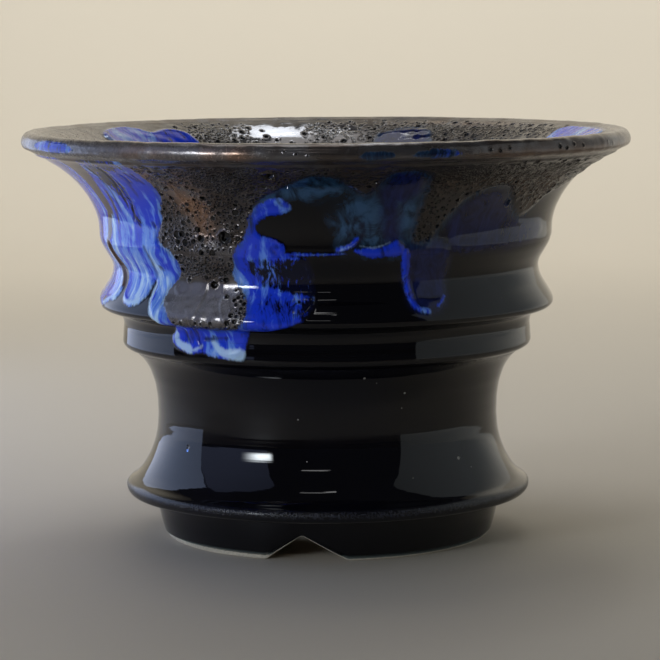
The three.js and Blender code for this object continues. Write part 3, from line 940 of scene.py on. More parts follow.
def new_group(name, inputs, outputs):
    """An empty shader group with its sockets, and its graph."""
    tree = bpy.data.node_groups.new(name, "ShaderNodeTree")
    for label, kind, default in inputs:
        socket = tree.interface.new_socket(label, in_out="INPUT", socket_type=kind)
        if default is not None:
            socket.default_value = default
    for label, kind in outputs:
        tree.interface.new_socket(label, in_out="OUTPUT", socket_type=kind)
    graph = Graph(tree)
    return tree, graph, graph.node("NodeGroupInput").outputs, graph.node("NodeGroupOutput").inputs


FLOAT = "NodeSocketFloat"
VECTOR = "NodeSocketVector"


def edge_group():
    """Turns a distance inside a run into a mask with a ragged, melted edge."""
    tree, graph, given, result = new_group(
        "Melted edge",
        [("Distance", FLOAT, 0.0), ("Flow", VECTOR, None), ("Raggedness", FLOAT, 0.6),
         ("Softness", FLOAT, 0.3), ("Scale", FLOAT, 0.9)],
        [("Mask", FLOAT)],
    )
    flow = graph.stretched(given["Flow"], 1.0, 1.0, 0.5)
    broad = graph.noise(flow, given["Scale"], 6.0, 0.62, 0.5)
    distance = graph.plus(given["Distance"], graph.swing(broad, given["Raggedness"]))
    low = graph.times(given["Softness"], -1.0)
    graph.feed(result["Mask"], graph.smooth(distance, low, given["Softness"]))
    return tree


def streak_group():
    """Streaks that ran down the wall with the glaze, broad, fine and brushed."""
    tree, graph, given, result = new_group(
        "Run streaks",
        [("Flow", VECTOR, None), ("Wander", FLOAT, 5.0)],
        [("Broad", FLOAT), ("Fine", FLOAT), ("Brushed", FLOAT), ("Cloud", FLOAT)],
    )
    links = {"Vector": given["Flow"], "Scale": 0.09, "Detail": 2.0}
    drift = graph.node("ShaderNodeTexNoise", links).outputs["Color"]
    links = {0: graph.vector("SUBTRACT", drift, (0.5, 0.5, 0.5)), "Scale": given["Wander"]}
    drift = graph.node("ShaderNodeVectorMath", links, operation="SCALE").outputs[0]
    flow = graph.vector("ADD", given["Flow"], drift)
    broad = graph.noise(graph.stretched(flow, 1.0, 1.0, 0.20), 0.26, 3.0, 0.5, 0.6)
    fine = graph.noise(graph.stretched(flow, 1.0, 1.0, 0.10), 0.62, 6.0, 0.58, 0.5)
    brushed = graph.noise(graph.stretched(flow, 1.0, 1.0, 0.13), 2.0, 6.0, 0.70, 0.3)
    cloud = graph.noise(graph.stretched(flow, 1.0, 1.0, 0.6), 0.42, 4.0, 0.55, 1.6)
    graph.feed(result["Broad"], graph.smooth(broad, 0.30, 0.70))
    graph.feed(result["Fine"], graph.smooth(fine, 0.28, 0.72))
    graph.feed(result["Brushed"], brushed)
    graph.feed(result["Cloud"], graph.smooth(cloud, 0.28, 0.72))
    return tree


def pore_group():
    """Fine pores and lumps of a crater glaze."""
    tree, graph, given, result = new_group(
        "Crater pores",
        [("Place", VECTOR, None), ("Spacing", FLOAT, 0.0009), ("Amount", FLOAT, 1.0)],
        [("Hollow", FLOAT), ("Height", FLOAT)],
    )
    per_cell = graph.math("DIVIDE", 1.0, given["Spacing"])
    links = {"Vector": given["Place"], "Scale": per_cell, "Randomness": 1.0}
    cells = graph.node("ShaderNodeTexVoronoi", links)
    chance = graph.node("ShaderNodeSeparateColor", {"Color": cells.outputs["Color"]}).outputs["Red"]
    size = graph.times(graph.smooth(chance, 0.25, 1.0, 0.0, 0.42), given["Amount"])
    inner = graph.times(size, 0.6)
    outer = graph.times(size, 1.5)
    hollow = graph.smooth(cells.outputs["Distance"], size, inner)
    rim = graph.smooth(cells.outputs["Distance"], outer, size)
    lumps = graph.noise(given["Place"], graph.times(per_cell, 0.45), 2.0, 0.45, 0.2)
    raised = graph.plus(graph.times(lumps, 0.3), graph.times(rim, 0.5))
    graph.feed(result["Hollow"], hollow)
    graph.feed(result["Height"], graph.minus(raised, graph.times(hollow, 1.4)))
    return tree


def skin_group():
    """Faint wheel marks and orange peel under a glossy glaze."""
    tree, graph, given, result = new_group(
        "Glaze skin", [("Place", VECTOR, None), ("Flow", VECTOR, None)], [("Height", FLOAT)])
    rings = graph.noise(graph.stretched(given["Flow"], 0.012, 0.012, 1.0), 0.55, 3.0, 0.55)
    peel = graph.noise(given["Place"], 420.0, 2.0, 0.5)
    graph.feed(result["Height"], graph.plus(rings, graph.times(peel, 0.16)))
    return tree


def speck_group():
    """Sparse pale specks and pinholes in a dark glaze."""
    tree, graph, given, result = new_group(
        "Glaze specks", [("Place", VECTOR, None), ("Spacing", FLOAT, 0.006), ("Size", FLOAT, 0.03)],
        [("Mask", FLOAT)])
    per_cell = graph.math("DIVIDE", 1.0, given["Spacing"])
    cells = graph.node("ShaderNodeTexVoronoi", {"Vector": given["Place"], "Scale": per_cell})
    chance = graph.node("ShaderNodeSeparateColor", {"Color": cells.outputs["Color"]}).outputs["Green"]
    size = graph.times(graph.smooth(chance, 0.35, 1.0), given["Size"])
    mask = graph.smooth(cells.outputs["Distance"], size, graph.times(size, 0.6))
    graph.feed(result["Mask"], mask)
    return tree


def spot_group():
    """A single round spot at a given place."""
    tree, graph, given, result = new_group(
        "Round spot", [("Place", VECTOR, None), ("Centre", VECTOR, None), ("Radius", FLOAT, 0.0003)],
        [("Mask", FLOAT)])
    wander = graph.noise(given["Place"], 1800.0, 2.0, 0.6)
    away = graph.node("ShaderNodeVectorMath", {0: given["Place"], 1: given["Centre"]}, operation="DISTANCE")
    away = graph.plus(away.outputs["Value"], graph.times(wander, 0.0002))
    edge = graph.plus(given["Radius"], 0.0001)
    graph.feed(result["Mask"], graph.smooth(away, edge, graph.times(edge, 0.6)))
    return tree


def shared(name, build):
    return bpy.data.node_groups.get(name) or build()


def new_material(name):
    material = bpy.data.materials.new(name)
    material.use_nodes = True
    tree = material.node_tree
    tree.nodes.clear()
    graph = Graph(tree)
    shader = graph.node("ShaderNodeBsdfPrincipled")
    output = graph.node("ShaderNodeOutputMaterial")
    tree.links.new(shader.outputs["BSDF"], output.inputs["Surface"])
    return material, graph, shader


# Roughness and refraction of the glassy glaze, and the height in metres of its faint unevenness
GLOSS = 0.03
GLAZE_IOR = 1.46
SKIN_HEIGHT = 0.00003


def scaled(tone, amount):
    return tuple(amount * channel for channel in tone)


def skin_height(graph, place, flow):
    """The faint unevenness of a glassy glaze."""
    return graph.group(shared("Glaze skin", skin_group), Place=place, Flow=flow).outputs["Height"]


def edge_mask(graph, flow, name, raggedness, softness, scale):
    """Where a glaze lies, from the distance inside its edge."""
    node = graph.group(shared("Melted edge", edge_group), Distance=graph.attribute(name), Flow=flow,
                       Raggedness=raggedness, Softness=softness, Scale=scale)
    return node.outputs["Mask"]


def thin_glazes(graph, glaze, flow, streaks):
    """Black glaze under a teal haze and thin navy."""
    swirl = graph.noise(graph.stretched(flow, 1.0, 1.0, 0.7), 0.24, 4.0, 0.6, 0.9)
    swirl = graph.smooth(swirl, 0.30, 0.68)
    teal_tone = graph.mix(swirl, scaled(glaze.teal, 0.35), scaled(glaze.teal, 1.7))
    teal_share = graph.times(edge_mask(graph, flow, "teal", 3.2, 1.9, 0.4),
                             graph.smooth(swirl, 0.0, 0.8, 0.30, 1.0))
    surface = graph.mix(teal_share, glaze.black, teal_tone)
    cloudy = graph.blend(0.35, streaks["Cloud"], streaks["Fine"])
    navy_tone = graph.mix(cloudy, scaled(glaze.navy, 0.35), scaled(glaze.navy, 1.4))
    return graph.mix(edge_mask(graph, flow, "navy", 3.0, 1.6, 0.45), surface, navy_tone)


def blue_run(graph, glaze, streaks):
    """Blue from near black through royal to milky, in streaks that ran down with it."""
    pale, deep, dark_streaks_and_shade = (graph.attribute(name) for name in ("pale", "deep", "dark_streaks_and_shade"))
    vary = 0.0
    for name, amount in (("Broad", 0.66), ("Fine", 0.46), ("Cloud", 0.26)):
        vary = graph.plus(vary, graph.swing(streaks[name], amount))
    vary = graph.times(vary, graph.smooth(deep, 0.0, 1.0, 1.0, 0.5))
    tone = graph.plus(vary, 0.37)
    tone = graph.plus(tone, graph.times(pale, 0.24))
    tone = graph.minus(tone, graph.times(deep, 0.18))
    surface = graph.mix(graph.smooth(tone, -0.10, 0.16), scaled(glaze.navy, 0.8), glaze.royal)
    surface = graph.mix(graph.smooth(tone, 0.30, 0.62), surface, glaze.periwinkle)
    surface = graph.mix(graph.smooth(tone, 0.62, 0.98), surface, glaze.pale)
    shaded = graph.plus(streaks["Brushed"], graph.swing(dark_streaks_and_shade, 1.1))
    shaded = graph.plus(shaded, graph.swing(streaks["Cloud"], 0.3))
    return graph.mix(graph.smooth(shaded, 0.42, 0.66), surface, scaled(glaze.navy, 0.22))


def run_details(graph, glaze, flow, streaks, surface):
    """Milky drip edges, partly a painted highlight, rust streaks and dark lines, and a haze round the crust.
    """
    # The milky strokes are partly a painted highlight on the drip.
    milky_and_highlight = graph.times(edge_mask(graph, flow, "milky_and_highlight", 1.1, 0.40, 1.3), 0.85)
    surface = graph.mix(milky_and_highlight, surface, glaze.pale)
    surface = graph.mix(edge_mask(graph, flow, "rust", 1.6, 0.55, 0.8), surface, glaze.rust)
    ink = graph.times(edge_mask(graph, flow, "ink", 1.2, 0.5, 1.0),
                      graph.smooth(streaks["Fine"], 0.0, 0.6, 0.25, 0.85))
    surface = graph.mix(ink, surface, scaled(glaze.navy, 0.3))
    halo = graph.times(graph.smooth(graph.attribute("crust"), -1.9, 0.2),
                       graph.smooth(streaks["Brushed"], 0.3, 0.62, 0.95, 0.25))
    return graph.mix(halo, surface, scaled(glaze.teal, 1.2))


def crater_crust(graph, glaze, place, brown_and_shade):
    """Colour, roughness, metal and height of the crater glaze."""
    porous, crater, satin_and_painted_sheen, sleek = (graph.attribute(name) for name in ("porous", "crater", "satin_and_painted_sheen", "sleek"))
    pores = graph.group(shared("Crater pores", pore_group), Place=place, Spacing=0.0012,
                        Amount=graph.times(porous, 0.5))
    hollow = graph.math("MAXIMUM", pores.outputs["Hollow"], graph.smooth(crater, -0.04, 0.10))
    patches = graph.noise(place, 130.0, 4.0, 0.6, 0.5)
    worn = graph.noise(place, 1100.0, 4.0, 0.65)

    tone = graph.mix(graph.smooth(patches, 0.36, 0.66, 0.0, 0.7), glaze.bronze, glaze.umber)
    tone = graph.mix(graph.smooth(worn, 0.30, 0.70, 0.0, 0.10), tone, scaled(glaze.umber, 0.6))
    tone = graph.mix(graph.times(porous, 0.6), tone, scaled(glaze.umber, 0.45))
    # This lighter, rougher, less metallic copy of the bronze is partly a duller finish, partly a painted
    # sheen standing in for reflected light.
    painted_sheen_tone = graph.mix(graph.smooth(patches, 0.34, 0.64), scaled(glaze.bronze, 2.4),
                           scaled(glaze.bronze, 1.5))
    painted_sheen_tone = graph.mix(graph.smooth(worn, 0.35, 0.7, 0.0, 0.35), painted_sheen_tone, scaled(glaze.umber, 1.3))
    tone = graph.mix(satin_and_painted_sheen, tone, painted_sheen_tone)
    tone = graph.mix(sleek, tone, scaled(glaze.bronze, 1.1))
    copper = graph.times(graph.attribute("copper"), graph.smooth(patches, 0.28, 0.55))
    tone = graph.mix(copper, tone, glaze.copper)
    # Stain and painted shade: on the darkened side the crust turns nearly black, and below it also loses
    # most of its metal and relief.
    stain_and_shade = graph.times(brown_and_shade, graph.smooth(patches, 0.30, 0.62, 1.0, 0.72))
    tone = graph.mix(stain_and_shade, tone, scaled(glaze.umber, 0.18))
    tone = graph.mix(graph.times(hollow, 0.96), tone, (0.004, 0.004, 0.004))

    gloss = graph.smooth(worn, 0.3, 0.75, 0.16, 0.27)
    gloss = graph.blend(satin_and_painted_sheen, gloss, graph.smooth(worn, 0.35, 0.7, 0.24, 0.38))
    gloss = graph.blend(sleek, gloss, 0.05)
    gloss = graph.blend(hollow, gloss, 0.12)
    metal = graph.times(graph.smooth(hollow, 0.1, 0.6, 0.72, 0.0),
                        graph.smooth(brown_and_shade, 0.0, 0.9, 1.0, 0.06))
    metal = graph.times(metal, graph.smooth(satin_and_painted_sheen, 0.0, 1.0, 1.0, 0.5))
    bowl = graph.minus(graph.smooth(crater, -0.34, -0.04, 0.0, 0.5),
                       graph.smooth(crater, -0.04, 0.22, 0.0, 1.3))
    height = graph.times(graph.plus(pores.outputs["Height"], bowl),
                         graph.smooth(brown_and_shade, 0.0, 1.0, 1.0, 0.55))
    return tone, gloss, metal, height


def running_glaze(glaze):
    """Black glaze under blue runs, rust streaks and a metallic crater crust, which carries painted shade and
    a painted sheen.
    """
    material, graph, shader = new_material("running_glaze")
    flow = graph.attribute("flow", "Vector")
    place = graph.object_place()
    brown_and_shade = graph.attribute("brown_and_shade")
    streaks = graph.group(shared("Run streaks", streak_group), Flow=flow, Wander=5.0).outputs
    blue_share = edge_mask(graph, flow, "blue", 1.7, 0.30, 1.1)
    crust_share = edge_mask(graph, flow, "crust", 2.2, graph.blend(brown_and_shade, 0.22, 1.3), 1.1)
    tone, gloss, metal, height = crater_crust(graph, glaze, place, brown_and_shade)

    surface = thin_glazes(graph, glaze, flow, streaks)
    surface = graph.mix(blue_share, surface, blue_run(graph, glaze, streaks))
    surface = run_details(graph, glaze, flow, streaks, surface)
    surface = graph.mix(crust_share, surface, tone)
    specks = graph.group(shared("Glaze specks", speck_group), Place=place, Spacing=0.0065, Size=0.022)
    bare_black = graph.math("SUBTRACT", 1.0, graph.math("MAXIMUM", crust_share, blue_share), clamp=True)
    speckled = graph.times(specks.outputs["Mask"], bare_black)
    surface = graph.mix(speckled, surface, (0.4, 0.39, 0.36))

    graph.feed(shader.inputs["Base Color"], surface)
    graph.feed(shader.inputs["Roughness"], graph.blend(crust_share, GLOSS, gloss))
    graph.feed(shader.inputs["Metallic"], graph.times(crust_share, metal))
    shader.inputs["IOR"].default_value = GLAZE_IOR
    glassy_normal = graph.bump(skin_height(graph, place, flow), SKIN_HEIGHT)
    crust_height = graph.times(height, crust_share)
    graph.feed(shader.inputs["Normal"], graph.bump(crust_height, 0.00017, glassy_normal))
    return material


# Specks on the black waist: (azimuth, height, radius in millimetres)
WAIST_SPECKS = [(10.9, 39, 0.35), (24.7, 35.2, 0.3), (24.3, 32, 0.18), (46.4, 20.1, 0.45),
                (-9.4, 30.1, 0.2), (14.9, 37.8, 0.15), (51.2, 17.9, 0.2), (26.9, 17.4, 0.16),
                (-6.5, 21.4, 0.15), (33.2, 41, 0.15)]
PINHOLE = (-52, 22.3)


def black_glaze(glaze):
    """Deep glossy black, with a dull speckled line where it ran off an edge."""
    material, graph, shader = new_material("waist_black")
    place = graph.object_place()
    flow = graph.attribute("flow", "Vector")
    dull = graph.attribute("dull")
    cloud = graph.noise(place, 45.0, 3.0, 0.5)
    surface = graph.mix(graph.smooth(cloud, 0.35, 0.75), glaze.black, scaled(glaze.black, 1.9))
    spot = shared("Round spot", spot_group)
    profile = pot_profile()

    def centre(azimuth, height, lower=0.0):
        station = profile.station_of_height(height, "waist_foot", "collar_underside")
        return tuple((profile.place(station, azimuth) - (0, 0, lower)) * MM)

    for azimuth, height, radius in WAIST_SPECKS:
        node = graph.group(spot, Place=place, Centre=centre(azimuth, height), Radius=radius * MM)
        surface = graph.mix(node.outputs["Mask"], surface, (0.36, 0.35, 0.32))
    # Painted highlight: a brighter pale blue spot just below the pinhole.
    lit = graph.group(spot, Place=place, Centre=centre(*PINHOLE, 0.75), Radius=0.5 * MM)
    surface = graph.mix(lit.outputs["Mask"], surface, scaled(glaze.periwinkle, 1.3))
    pinhole = graph.group(spot, Place=place, Centre=centre(*PINHOLE), Radius=0.55 * MM)
    surface = graph.mix(pinhole.outputs["Mask"], surface, (0.001, 0.001, 0.002))
    grain = graph.noise(place, 2600.0, 2.0, 0.7)
    worn = graph.times(dull, graph.smooth(grain, 0.42, 0.66))
    surface = graph.mix(graph.times(worn, 0.55), surface, (0.05, 0.055, 0.085))
    graph.feed(shader.inputs["Base Color"], surface)
    graph.feed(shader.inputs["Roughness"], graph.blend(dull, GLOSS, 0.30))
    shader.inputs["IOR"].default_value = GLAZE_IOR
    normal = graph.bump(skin_height(graph, place, flow), SKIN_HEIGHT)
    dimple = graph.minus(graph.times(worn, 0.2), pinhole.outputs["Mask"])
    graph.feed(shader.inputs["Normal"], graph.bump(dimple, 0.0003, normal))
    return material


def bare_clay(glaze):
    """Fired stoneware with fine grog and cloudy tone."""
    material, graph, shader = new_material("stoneware")
    place = graph.object_place()
    broad = graph.noise(place, 55.0, 4.0, 0.6)
    tone = graph.mix(graph.smooth(broad, 0.3, 0.75), glaze.clay, scaled(glaze.clay, 0.62))
    grog = graph.group(shared("Glaze specks", speck_group), Place=place, Spacing=0.0016, Size=0.20)
    tone = graph.mix(graph.times(grog.outputs["Mask"], 0.6), tone, (0.10, 0.075, 0.055))
    grain = graph.noise(place, 1900.0, 3.0, 0.65)
    graph.feed(shader.inputs["Base Color"], tone)
    graph.feed(shader.inputs["Roughness"], graph.smooth(grain, 0.3, 0.7, 0.74, 0.92))
    graph.feed(shader.inputs["Normal"], graph.bump(grain, 0.00009))
    return material


def foot_glaze(glaze):
    """Black glaze that breaks to bare clay along the foot's lower edge."""
    material, graph, shader = new_material("foot_glaze")
    place = graph.object_place()
    flow = graph.attribute("flow", "Vector")
    node = graph.group(shared("Melted edge", edge_group), Distance=graph.attribute("coated"), Flow=place,
                       Raggedness=0.5, Softness=0.1, Scale=900.0)
    coated = node.outputs["Mask"]
    thin = graph.smooth(graph.attribute("coated"), 0.9, 0.1)
    glassy = graph.mix(graph.times(thin, 0.5), glaze.black, (0.16, 0.20, 0.19))
    grain = graph.noise(place, 1700.0, 3.0, 0.65)
    clay_tone = graph.mix(graph.smooth(grain, 0.35, 0.7), scaled(glaze.clay, 1.25), glaze.clay)
    graph.feed(shader.inputs["Base Color"], graph.mix(coated, clay_tone, glassy))
    graph.feed(shader.inputs["Roughness"], graph.blend(coated, 0.8, 0.08))
    shader.inputs["IOR"].default_value = GLAZE_IOR
    height = graph.blend(coated, grain, skin_height(graph, place, flow))
    graph.feed(shader.inputs["Normal"], graph.bump(height, 0.00004))
    return material


def material_for(name, build, glaze):
    return bpy.data.materials.get(name) or build(glaze)


# Pieces

# Sectors of a turned piece: azimuths where each starts and ends, and its number of steps
WALL_SECTORS = [(-80, 62, 600), (62, 280, 170)]
PLAIN_SECTORS = [(-95, 95, 380), (95, 265, 170)]
MOUTH_SECTORS = [(90, 270, 600), (270, 450, 220)]


def wheel_marks(skin, depth):
    """Faint rings left by the fingers on the wheel, and a slow wander of the wall."""
    rings = waves(np.stack([skin.station * 0, skin.station * 0, skin.station], axis=1), 2.6, 11, 16)
    wander = waves(skin.places, 34, 12, 12)
    return (rings * depth + wander * depth * 2.2) * smooth(skin.ends, 0, 1.0)


def paint_running_glaze(skin, glaze, big=(), seed=0, flat=None):
    """Writes what the running glaze reads, and raises runs, crust and craters. They grow flat towards
    the top or the bottom of the skin, and carry on over its other seams."""
    canvas = Canvas(skin, partial(wall_station, skin.profile))
    fields = painted_fields(canvas, WALL_AREAS, WALL_STROKES)
    tints = soft_tints(canvas, WALL_WASHES)
    for spot in CALM_SPOTS:
        tints["porous"] *= 1 - canvas.wash(*spot)
    relief = run_relief(fields, glaze)
    g = Sizes(glaze)
    crusted = smooth(fields["crust"], -0.4, 0.9)
    lumps = waves(skin.places, 2.4, 21, 36)
    relief = np.maximum(relief, crusted * (g.crust_thickness + g.crust_relief * lumps))
    craters = scattered_craters(canvas, fields, tints["porous"], big, seed)
    raised, within = sunk_craters(skin, craters)
    margin = {"top": skin.station.max() - skin.station, "bottom": skin.station - skin.station.min()}
    share = smooth(margin[flat], 0.0, 1.0) if flat else 1.0
    skin.raise_by((relief + raised) * share + wheel_marks(skin, g.wheel_relief))
    # Partly the crust's own brown, partly painted shade: the crust is darkened from the front towards the
    # right, the side away from the left-hand lamps, and half as much round the back.
    brown_and_shade = np.maximum(smooth(skin.azimuth, -24, 6) * smooth(-skin.azimuth, -110, -80),
                       0.5 * smooth(np.abs(skin.azimuth), 88, 100))
    skin.write({**fields, **tints, "crater": within, "brown_and_shade": 0.9 * brown_and_shade})


def wall_station(profile, height):
    """Station of a height on the wall or the collar, carried on straight above the flare."""
    above = np.maximum(np.asarray(height) - profile.at(profile.marks["lip_underside"])[1], 0)
    return profile.station_of_height(height, "collar_underside", "lip_underside") + above


def craters_beside_crease(side):
    """The big craters clear of the crease: above it for 1, below it for -1."""
    crease = Sizes(bpy.context.scene.pot_shape).crease_height
    return [crater for crater in BIG_CRATERS if side * (crater[1] - crease) > CREASE_MARGIN]


def wall_nodes():
    """The CAD's nodes of black glaze, blue runs and crater glaze."""
    runs = [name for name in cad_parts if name.startswith(("blue_", "crater_"))]
    return ["black_glaze", *sorted(runs)]


class POT_OT_flare_glaze(bpy.types.Operator):
    """Glazed flare from the shoulder's crease to the underside of the lip"""
    bl_idname = "pot.flare_glaze"
    bl_label = "Flare glaze"

    def execute(self, context):
        glaze = context.scene.pot_glaze
        skin = shell("flare_glaze", "crease", "lip_underside", 0.24, WALL_SECTORS)
        paint_running_glaze(skin, glaze, craters_beside_crease(1), glaze.random_seed, "top")
        skin.finish(material_for("running_glaze", running_glaze, glaze), "crater_glaze", wall_nodes())
        return {"FINISHED"}


class POT_OT_belly_glaze(bpy.types.Operator):
    """Glazed groove and rib between the shoulder's crease and the collar"""
    bl_idname = "pot.belly_glaze"
    bl_label = "Belly glaze"

    def execute(self, context):
        glaze = context.scene.pot_glaze
        skin = shell("belly_glaze", "collar_top", "crease", 0.2, WALL_SECTORS)
        paint_running_glaze(skin, glaze, craters_beside_crease(-1), glaze.random_seed + 1)
        skin.finish(material_for("running_glaze", running_glaze, glaze), "blue_glaze", wall_nodes())
        return {"FINISHED"}


class POT_OT_collar_glaze(bpy.types.Operator):
    """Glazed collar below the rib, with the drip that runs over it"""
    bl_idname = "pot.collar_glaze"
    bl_label = "Collar glaze"

    def execute(self, context):
        glaze = context.scene.pot_glaze
        skin = shell("collar_glaze", "collar_underside", "collar_top", 0.17, WALL_SECTORS)
        paint_running_glaze(skin, glaze, flat="bottom")
        skin.finish(material_for("running_glaze", running_glaze, glaze), "black_glaze",
                    ["black_glaze", "blue_drip"])
        return {"FINISHED"}


class POT_OT_waist_glaze(bpy.types.Operator):
    """Black glazed waist and base flange"""
    bl_idname = "pot.waist_glaze"
    bl_label = "Waist glaze"

    def execute(self, context):
        glaze = context.scene.pot_glaze
        skin = shell("waist_glaze", "foot_top", "collar_underside", 0.36, PLAIN_SECTORS)
        marks = skin.profile.marks
        skin.raise_by(wheel_marks(skin, Sizes(glaze).wheel_relief))
        flange = np.exp(-((skin.station - marks["flange"]) / 0.8) ** 2)
        collar = np.exp(-((marks["collar_underside"] - skin.station) / 1.6) ** 2)
        skin.write({"dull": 0.85 * flange + 0.5 * collar})
        skin.finish(material_for("waist_black", black_glaze, glaze), "black_glaze", ["black_glaze"])
        return {"FINISHED"}


# The lip: areas, washes and craters as on the wall
LIP_AREAS = {"blue": [
    [(-66, 85.4), (-58, 85.2), (-52, 85.4), (-50.5, 86.5), (-54, 87.6), (-63, 87.8), (-68, 86.6)],
    [(5.5, 85.2), (9, 85), (12, 85.4), (12, 86.4), (8.6, 87), (5.4, 86.4)],
    [(14.5, 85.4), (19, 85), (23.4, 85.4), (24.6, 86.4), (20, 87.4), (15.4, 86.6)],
]}
LIP_WASHES = {
    "copper": [(-15.5, 86, 1.6, 1.2, 0.8), (-20.6, 86.2, 1.0, 1.2, 0.5), (-34, 86.2, 3, 1.6, 0.4),
               (40, 84.6, 9, 1.4, 0.4), (70, 84.6, 12, 1.4, 0.5)],
    # These washes on the lip's left-hand side are a painted reflection of a bright window.
    "satin_and_painted_sheen": [(-64, 86, 14, 3, 0.5), (-38, 86.6, 14, 2, 0.5), (-20, 86.6, 6, 1.6, 0.35)],
    "deep": [(9, 86, 6, 2, 1.0), (19, 86, 8, 2, 1.0)],
    "dark_streaks_and_shade": [(9, 86, 5, 2, 0.62), (19, 86, 8, 2, 0.52)],
}
LIP_CRATERS = [
    (29.5, 86.6, 0.4), (31.5, 86.3, 0.4), (33.6, 86.8, 0.35), (45.6, 86.6, 0.5), (47.4, 86.2, 0.45),
    (49.6, 86.9, 0.4), (52.5, 86.5, 0.4), (62.4, 86.6, 0.5), (65, 86.2, 0.5), (-5, 86.4, 0.3),
    (-7, 86.9, 0.25), (-3, 86, 0.25), (92, 86.4, 0.5), (140, 86.6, 0.6), (171, 86.5, 0.5),
    (-120, 86.5, 0.5), (-150, 86.8, 0.4),
]


class POT_OT_lip_glaze(bpy.types.Operator):
    """Rounded lip under its bronze coat, with a painted reflection on its left-hand side"""
    bl_idname = "pot.lip_glaze"
    bl_label = "Lip glaze"

    def execute(self, context):
        glaze = context.scene.pot_glaze
        skin = shell("lip_glaze", "lip_underside", "lip_inside", 0.22, WALL_SECTORS, back_step=1.2)
        station_of = partial(skin.profile.station_of_height, first="lip_underside", last="lip_top")
        canvas = Canvas(skin, station_of)
        fields = painted_fields(canvas, LIP_AREAS, {})
        fields["crust"] = np.where(skin.front, np.minimum(FAR, -fields["blue"]), -FAR)
        g = Sizes(glaze)
        craters = [(canvas.place(azimuth, height), radius) for azimuth, height, radius in LIP_CRATERS]
        raised, within = sunk_craters(skin, craters)
        lumps = 0.4 * waves(skin.places, 3.2, 31, 30) + 0.6 * waves(skin.places, 12, 32, 20)
        sunk = 0.12
        skin.raise_by((g.crust_relief * lumps + 0.6 * raised - sunk) * smooth(skin.ends, 0, 1.0))
        tints = soft_tints(canvas, LIP_WASHES)
        tints["porous"][:] = 0.1
        # Painted shade: the lip's underside, below its bead, is darkened.
        brown_and_shade = 0.7 * smooth(-skin.height, -85.6, -84.4) * skin.front
        skin.write({**fields, **tints, "crater": within, "brown_and_shade": brown_and_shade})
        skin.finish(material_for("running_glaze", running_glaze, glaze), "bronze_glaze", ["rim_glaze"])
        return {"FINISHED"}


# The inside of the mouth, as seen from the pot's axis: areas, then washes
MOUTH_AREAS = {
    "navy": [
        [(167, 85), (161, 86), (156.4, 86.2), (153, 84.6), (152.6, 80), (154.4, 75), (157, 72.4),
         (159.4, 76), (161.4, 79.4), (164, 76.6), (166.6, 79), (168, 82.4)],
    ],
    "blue": [
        [(241, 86.4), (233, 87.4), (227, 87), (224.6, 85.6), (220, 86.6), (215, 86), (213, 83.6),
         (213.6, 79), (216, 74.6), (218.4, 71), (220.6, 74), (222.4, 77.6), (225, 74), (228, 70.4),
         (230.4, 74), (232, 79), (235.6, 77.4), (239, 80), (241.4, 83.6)],
        [(117, 87.4), (107, 88.4), (97, 88.2), (91, 87), (90.6, 82), (93, 76), (96.4, 72), (99.6, 75),
         (102, 80), (106, 78), (109.6, 73.6), (112.6, 76), (115, 81), (117.4, 84.6)],
        [(-22, 88.5), (-21, 84), (-19, 79), (-16.5, 74.5), (-14, 73.5), (-12.5, 77), (-11, 80),
         (-8.5, 76), (-6, 70.5), (-3, 69.6), (-1, 74), (1, 79), (4, 81.5), (7, 78), (9.5, 76.8),
         (11.5, 80), (13, 84.5), (14, 88.5)],
        [(40, 88.5), (41, 84), (44, 80), (46, 75), (49, 73.6), (51, 78), (53, 82), (56, 80.6), (58.6, 83),
         (60, 88.5)],
    ],
}
MOUTH_WASHES = {
    "porous": [(207, 85, 4.5, 3, 1.0), (180.6, 85, 1.8, 3, 0.9), (159, 85.4, 8, 3, 1.0),
               (141, 85.4, 6, 2.6, 1.0), (117, 86, 12, 2, 0.8), (150, 79, 14, 3, 0.7),
               (200, 78, 12, 4, 0.6), (-50, 83, 20, 3.5, 0.9), (29, 84, 9, 3, 0.9), (241, 77, 9, 3, 0.6)],
    "deep": [(222, 80, 8, 6, 1.0), (158, 80, 6, 5, 1.0), (-5, 74, 16, 5, 0.8), (54, 74, 9, 5, 0.8)],
    "pale": [(234, 85, 6, 3, 0.7), (103, 85, 10, 3, 0.5)],
    "copper": [(150, 87.2, 10, 1.0, 0.4), (70, 86, 20, 2, 0.3), (-80, 86, 16, 2, 0.3)],
    "sleek": [(192.5, 84.6, 7.5, 5, 1.0), (212.4, 85, 1.4, 2, 0.9), (175.6, 84.8, 3.4, 3, 0.8)],
    # These washes are partly a painted sheen.
    "satin_and_painted_sheen": [(255, 85, 16, 5, 0.5), (108, 84, 16, 5, 0.3), (146, 87, 12, 1, 0.3)],
}


